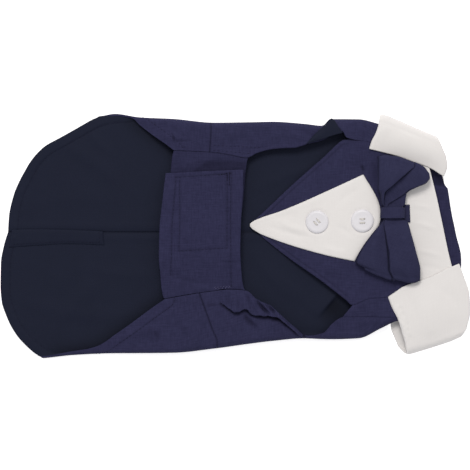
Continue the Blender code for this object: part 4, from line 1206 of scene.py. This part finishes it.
across, share = np.meshgrid(np.linspace(-2, 2, 150), np.linspace(0, 1, 44), indexing="ij")
sides = np.where(across < 0, 1.0, -1.0)
from_centre = np.abs(across)
gap = smooth(from_centre, (0.0, 1.0, 2.0), (SEAM_GAP, SIDE_GAP, SIDE_GAP))
neck_start = by_side(across, from_centre, NECK)
far = by_side(across, share, STAND)
y, z, girth = wrapped(from_centre, far, np.full_like(far, STAND_RISE / 2), far - STAND_RISE / 2)
x = mix(neck_start + gap, smooth(across, FACING_EDGE.across, FACING_EDGE.x), share)
y = SEAM_Y + sides * y
in_navy = past_line(LINING_FROM - y, 0.3)
lining_and_shade = np.clip((y - LINING_FROM) / 0.8, 0, 1)
stands_out = STANDS_OUT * share * np.clip((y + 2) / 34, 0, 1) * in_navy
places = stacked(x, sides * girth)
facing, _, _ = cloth(
    "neck_facing_cloth", stacked(x + stands_out, y, NECK_LIFT + z), places, CLOTH, (navy, navy, navy),
    inner=FACING_LIFT * in_navy * np.clip(2 - from_centre, 0, 1), inner_shade=0.5 * lining_and_shade, roll=0.2,
)
declare(facing, "neck_facing")

BAND_CREASES = table(
    CREASE,
    (114.0, 20.0, 128.0, 17.0, 0.5, 1.6, 0.3),
    (116.0, 8.0, 130.0, 4.0, 0.5, 1.8, 0.35),
    (118.0, -10.0, 134.0, -14.0, 0.6, 1.6, 0.35),
    (120.0, -20.0, 138.0, -23.0, 0.4, 1.8, -0.3),
    (118.0, 30.0, 126.0, 27.0, 0.4, 1.6, 0.25),
)
band_y = np.linspace(BAND_EDGE.y[0], BAND_EDGE.y[-1], 120)
y, share = np.meshgrid(band_y, np.linspace(0, 1, 40), indexing="ij")
x = mix(smooth(y, NECKLINE.y, NECKLINE.x) + SEAM_GAP / 2, smooth(y, BAND_EDGE.y, BAND_EDGE.top_x), share)
edge = edge_distance(x, y)
band_relief = creases(BAND_CREASES, x, y) * np.clip(edge / 3, 0, 1) + uneven(x, y, 9.0, 0.08)
band_relief += 0.3 * np.clip(edge / 1.5, 0, 1) ** 0.6 - 0.3
band, _, _ = cloth(
    "collar_band_cloth", stacked(x, y, BAND_TOP), stacked(x, y), CLOTH, (white, white, white), band_relief,
    roll=0.2,
)
declare(band, "collar_band")

# ---------------------------------------------------------------------------------------------------------------
# Collar. A turned-down collar of doubled white cotton: it lies under the coat's neck, comes up round both sides
# and ends in two wings on top.
# ---------------------------------------------------------------------------------------------------------------
COLLAR_RISE, COLLAR_PUFF, EDGE_TURN = 11.0, 1.6, 0.4
COLLAR = table(
    "share right left right_front left_front",
    (0.0, 76.6, 79.8, 54.0, 42.2), (0.12, 76.0, 78.8, 52.6, 38.4), (0.2, 74.7, 77.9, 51.6, 35.9),
    (0.4, 71.6, 75.9, 49.0, 32.2), (0.6, 68.3, 73.7, 45.4, 29.2), (0.8, 65.2, 71.4, 42.0, 24.6),
    (1.0, 62.2, 68.4, 36.2, 20.8),
)
COLLAR_LINES = table(
    "across style_x fold_x",
    (-3.0, 86.8, 134.9), (-2.7, 88.4, 137.0), (-2.4, 91.0, 136.4), (-2.0, 93.2, 133.2),
    (-1.5, 94.2, 130.8), (-1.0, 97.0, 132.8), (-0.5, 99.0, 136.4), (0.0, 99.7, 142.4),
    (0.5, 100.0, 146.0), (0.84, 101.6, 146.4), (0.94, 104.2, 146.2), (1.0, 106.0, 146.0),
    (1.25, 109.2, 146.0), (1.5, 112.0, 146.0), (2.0, 110.6, 149.4), (2.3, 108.0, 152.1),
    (2.55, 105.4, 151.2), (2.8, 101.4, 147.9), (3.0, 99.0, 144.8),
)
COLLAR_CREASES = table(
    CREASE,
    (104.0, 66.0, 118.0, 60.0, 2.0, 5.0, 0.25),
    (118.0, 50.0, 130.0, 42.0, 1.0, 3.0, -0.3),
    (92.0, 60.0, 99.0, 72.0, 1.0, 3.0, 0.5),
    (108.0, -36.0, 120.0, -60.0, 1.5, 4.0, -0.4),
    (122.0, -44.0, 132.0, -70.0, -2.0, 6.0, 0.5),
    (132.0, -34.0, 144.0, -46.0, 1.0, 3.0, -0.35),
    (108.0, -56.0, 114.0, -70.0, 1.0, 2.4, 0.4),
)
zones = (-3, -2, 40), (-2, -1, 22), (-1, 1, 150), (1, 2, 22), (2, 3, 62)
across = np.unique(np.concatenate([np.linspace(*zone) for zone in zones]))
across, share = np.meshgrid(across, np.linspace(0, 1, 56), indexing="ij")
sides = np.where(across < 0, 1.0, -1.0)
from_centre = np.abs(across)
far = by_side(across, share, COLLAR)
front = by_side(across, share, COLLAR, "right_front", "left_front")
y, z, girth = wrapped(from_centre, far, np.full_like(far, COLLAR_RISE / 2), front)
style = smooth(across, COLLAR_LINES.across, COLLAR_LINES.style_x)
fold = smooth(across, COLLAR_LINES.across, COLLAR_LINES.fold_x)
x = mix(style, fold, share)
on_top = np.clip(from_centre - 2, 0, 1)
z = z + COLLAR_PUFF * np.sin(math.pi * on_top) * np.sin(math.pi * mix(0.08, 0.92, share))
grid = stacked(x, SEAM_Y + sides * y, z)
places = stacked(x, sides * girth)
collar_relief = creases(COLLAR_CREASES, x, grid[..., 1]) + uneven(x, grid[..., 1], 13.0, 0.14)
collar_relief = collar_relief * np.clip(on_top * 6, 0, 1)
in_from_edge = x - style
style_edge = np.clip(in_from_edge / 1.6, 0, 1) ** 0.6 - 1
# The lower wing's style edge is pressed over its seam, and puckers a little along it.
puckers = 1 + 0.35 * np.sin(1.3 * y + 1.2 * np.sin(0.5 * y))
pressed_roll = 0.3 * bell(in_from_edge - 1.5, 1.1) - 0.42 * bell(in_from_edge - 3.6, 1.0)
pressed_roll = pressed_roll * puckers * np.where(across > 0, 1.0, 0.25)
collar_relief = collar_relief + EDGE_TURN * style_edge * np.clip(from_centre - 1, 0, 1)
collar_relief = collar_relief + pressed_roll * np.clip(on_top * 8, 0, 1)
# The upper wing is painted a little darker, as painted shade that takes back the extra light it catches.
collar, _, _ = cloth(
    "collar_fall_cloth", grid, places, CLOTH, (white, white, white), collar_relief,
    shade=0.11 * on_top * (across < 0), roll=0.3, floor_z=0.0,
)
declare(collar, "collar_fall")

# ---------------------------------------------------------------------------------------------------------------
# Bow tie. Two loops of the navy cloth, pleated where the knot pinches them, a knot strip round their
# middle and the end of the strip that it is hooked on with.
# ---------------------------------------------------------------------------------------------------------------
BOW_BASE, BOW_CLOTH = 11.4, 1.3
# The bow's cloth is the coat's, cut on the straight and a shade cooler.
bow_navy = woven("bow_polycotton", "#24243d", "#32334e", 1.1, 0.3, 0.88, 0.12, 0.04)
EDGE_DROP, PLEAT_SOFTNESS, LEAST_HEIGHT = 0.32, 0.005, 2.9

# Sections from the knot outwards. The two pleats, fold and tuck, cross each at a share of its width, and the cloth
# steps down past them by fold_drop and tuck_drop.
WING_COLUMNS = "left_x left_y right_x right_y height fold tuck fold_drop tuck_drop"
BOW_WINGS = (
    ("right", (0.0, 1.0), ((0, 0.2, 0.5, 0.69, 0.72, 0.86, 1), (0, 2.3, 3.8, 3.6, 4.4, 3.8, 0)), 1, table(
        WING_COLUMNS,
        (96.0, 15.0, 107.4, 15.0, 4.8, 0.12, 0.26, 0.0, 0.0),
        (95.6, 18.3, 107.9, 18.3, 5.0, 0.12, 0.22, 0.1, 0.1),
        (94.6, 20.6, 109.3, 20.2, 5.8, 0.08, 0.30, 0.3, 0.25),
        (93.6, 26.4, 110.6, 27.2, 7.8, 0.13, 0.95, 0.38, 0.3),
        (92.0, 30.5, 116.8, 31.0, 9.2, 0.35, 0.96, 0.38, 0.0),
        (91.9, 39.0, 123.2, 33.8, 9.6, 0.53, 0.96, 0.36, 0.0),
        (92.0, 48.9, 125.6, 36.8, 6.6, 0.70, 0.96, 0.12, 0.0),
    )),
    ("left", (-0.12, -1.0), ((0, 0.3, 0.53, 0.55, 0.8, 1), (0, 1.8, 2.8, 0.8, 0.9, -1.2)), -1, table(
        WING_COLUMNS,
        (96.0, 14.2, 107.4, 14.2, 4.8, 0.07, 0.60, 0.0, 0.0),
        (95.8, 10.9, 107.9, 10.9, 5.0, 0.07, 0.60, 0.1, 0.0),
        (94.8, 8.6, 111.0, 9.0, 5.8, 0.08, 0.60, 0.3, 0.0),
        (89.0, 1.6, 113.4, 0.6, 9.4, 0.32, 0.70, 0.34, 0.0),
        (82.0, -8.0, 116.8, -12.0, 10.0, 0.48, 0.78, 0.36, 0.0),
        (77.7, -16.8, 119.2, -22.0, 8.6, 0.53, 0.80, 0.36, 0.0),
        (83.2, -20.9, 119.2, -28.6, 5.6, 0.53, 0.80, 0.3, 0.0),
    )),
)
# How finely each layer is laid out: along the bottom, round the end and back along the top.
BOTTOM_STEPS, END_STEPS, TOP_STEPS = 40, 14, 60
BOW_CREASES = table(
    CREASE,
    (96.6, 21.0, 97.6, 34.0, 0.5, 1.4, 0.4),
    (100.0, 26.0, 104.0, 40.0, 1.0, 2.4, 0.35),
    (99.0, 20.6, 104.6, 22.4, 0.4, 0.9, 0.35),
    (104.0, 27.6, 112.0, 33.0, 0.6, 1.6, 0.4),
    (98.4, 7.0, 100.6, -8.0, 0.4, 1.5, 0.4),
    (104.0, 8.0, 108.0, -12.0, -0.8, 2.2, -0.35),
    (91.0, 0.0, 85.0, -13.0, 0.8, 2.4, 0.4),
    (95.0, -2.0, 95.0, -16.0, -0.5, 1.6, -0.3),
)
for side, outward, end_line, top_lobe, sections in BOW_WINGS:
    stops = np.linspace(0, 1, len(sections))
    by_pleat = np.linspace(-0.01, 0.01, 4)
    row = np.sort(np.concatenate([np.linspace(0, 1, 82), 1 / 3 + by_pleat, 2 / 3 + by_pleat]))[:, None]

    def plan(along):
        """Plan of the loop, its rows keeping their share of the lobes so that each pleat runs along a row."""
        fold, tuck = smooth(along, stops, sections.fold), smooth(along, stops, sections.tuck)
        lobes = [3 * row * fold, mix(fold, tuck, 3 * row - 1)]
        over = np.select([row < 1 / 3, row < 2 / 3], lobes, mix(tuck, 1.0, 3 * row - 2))
        x, y = ruled(sections, along, over)
        out = smooth(over, *end_line) * along**3
        return x + outward[0] * out, y + outward[1] * out

    def rise(along):
        """Height of the top layer over the bottom one: it thins to its edges and steps down past each pleat."""
        past_fold = 0.5 + 0.5 * top_lobe * np.tanh((row - 1 / 3) / PLEAT_SOFTNESS)
        past_tuck = 0.5 + 0.5 * np.tanh((row - 2 / 3) / PLEAT_SOFTNESS)
        height, fold_drop, tuck_drop = (
            smooth(along, stops, sections[key]) for key in ("height", "fold_drop", "tuck_drop")
        )
        drop = fold_drop * past_fold + tuck_drop * past_tuck
        near_edge = 1 - np.minimum(np.minimum(row * 6, (1 - row) * 6), 1.0)
        return np.maximum(LEAST_HEIGHT, height * (1 - EDGE_DROP * near_edge**2 - drop))

    bottom = np.broadcast_to(np.linspace(0, 1, BOTTOM_STEPS), (len(row), BOTTOM_STEPS))
    back = np.broadcast_to(np.linspace(1, 0, TOP_STEPS), (len(row), TOP_STEPS))
    at_end = np.ones((len(row), 1))
    end_x, end_y = plan(at_end)
    half = rise(at_end) / 2
    turn = np.linspace(0, math.pi, END_STEPS)[None, 1:-1]
    out, up = half * np.sin(turn), half * (1 - np.cos(turn))
    grid = np.concatenate([
        stacked(*plan(bottom), BOW_BASE),
        stacked(end_x + outward[0] * out, end_y + outward[1] * out, BOW_BASE + up),
        stacked(*plan(back), BOW_BASE + rise(back)),
    ], axis=1)
    run = np.cumsum(np.linalg.norm(np.diff(grid, axis=1, prepend=grid[:, :1]), axis=-1), axis=1)
    width = np.cumsum(np.linalg.norm(np.diff(grid, axis=0, prepend=grid[:1]), axis=-1), axis=0)
    places = stacked(width, run)
    on_top = np.arange(grid.shape[1]) >= BOTTOM_STEPS + turn.size // 2
    # Painted shadow: a dark line along the fold pleat and along the wing's near edge.
    pleat_shade = 0.8 * bell(row - 1 / 3 - 0.01 * top_lobe, 0.01) + 0.8 * bell(row, 0.012)
    wing_relief = uneven(grid[..., 0], grid[..., 1], 9.0, 0.12)
    wing_relief = wing_relief + on_top * creases(BOW_CREASES, grid[..., 0], grid[..., 1])
    flip = slice(None) if side == "right" else slice(None, None, -1)
    wing, _, _ = cloth(
        f"bow_wing_{side}_cloth", grid[flip], places[flip], BOW_CLOTH, (bow_navy, bow_navy, bow_navy),
        wing_relief[flip], shade=(on_top * pleat_shade)[flip], roll=0.2,
    )
    declare(wing, f"bow_wing_{side}")

KNOT_X, KNOT_HALF, KNOT_HEIGHT, KNOT_SQUARE, KNOT_SLANT = 101.7, 7.9, 9.4, 0.62, 0.03
KNOT_TOP, KNOT_BOTTOM, KNOT_CUT = 17.9, 11.2, 10.4

# A squarish arch over the wings, a little aslant.
y, turn = np.meshgrid(np.linspace(KNOT_TOP, KNOT_BOTTOM, 30), np.linspace(0, math.pi, 60))
reach, lift = -np.cos(turn), np.sin(turn)
x = KNOT_X + KNOT_HALF * np.copysign(np.abs(reach) ** KNOT_SQUARE, reach)
x = x + KNOT_SLANT * (y - (KNOT_TOP + KNOT_BOTTOM) / 2)
z = BAND_TOP + 2 * SEAM_GAP + KNOT_HEIGHT * np.abs(lift) ** KNOT_SQUARE
grid = stacked(x, y, z)
around = np.cumsum(np.linalg.norm(np.diff(grid, axis=0, prepend=grid[:1]), axis=-1), axis=0)
places = stacked(around, y)
knot, _, _ = cloth(
    "bow_knot_cloth", grid, places, CLOTH, (bow_navy, bow_navy, bow_navy), uneven(x, y, 5.0, 0.12), roll=0.3,
)
# The strip is cut wider than it shows, with its long edges turned under.
declare(knot, "bow_knot")

TAB = table(SHEET, (108.8, 9.0, 108.8, 19.6), (113.1, 8.6, 112.7, 19.8))
x, y, along, over = ruled_grid(TAB, 8, 20)
tab, _, _ = cloth(
    "bow_tab_cloth", stacked(x, y, BAND_TOP + SEAM_GAP + TAPE), stacked(x, y), TAPE,
    (bow_navy, bow_navy, bow_navy), roll=0.2,
)
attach(tab, "root")
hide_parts("bow_tab")
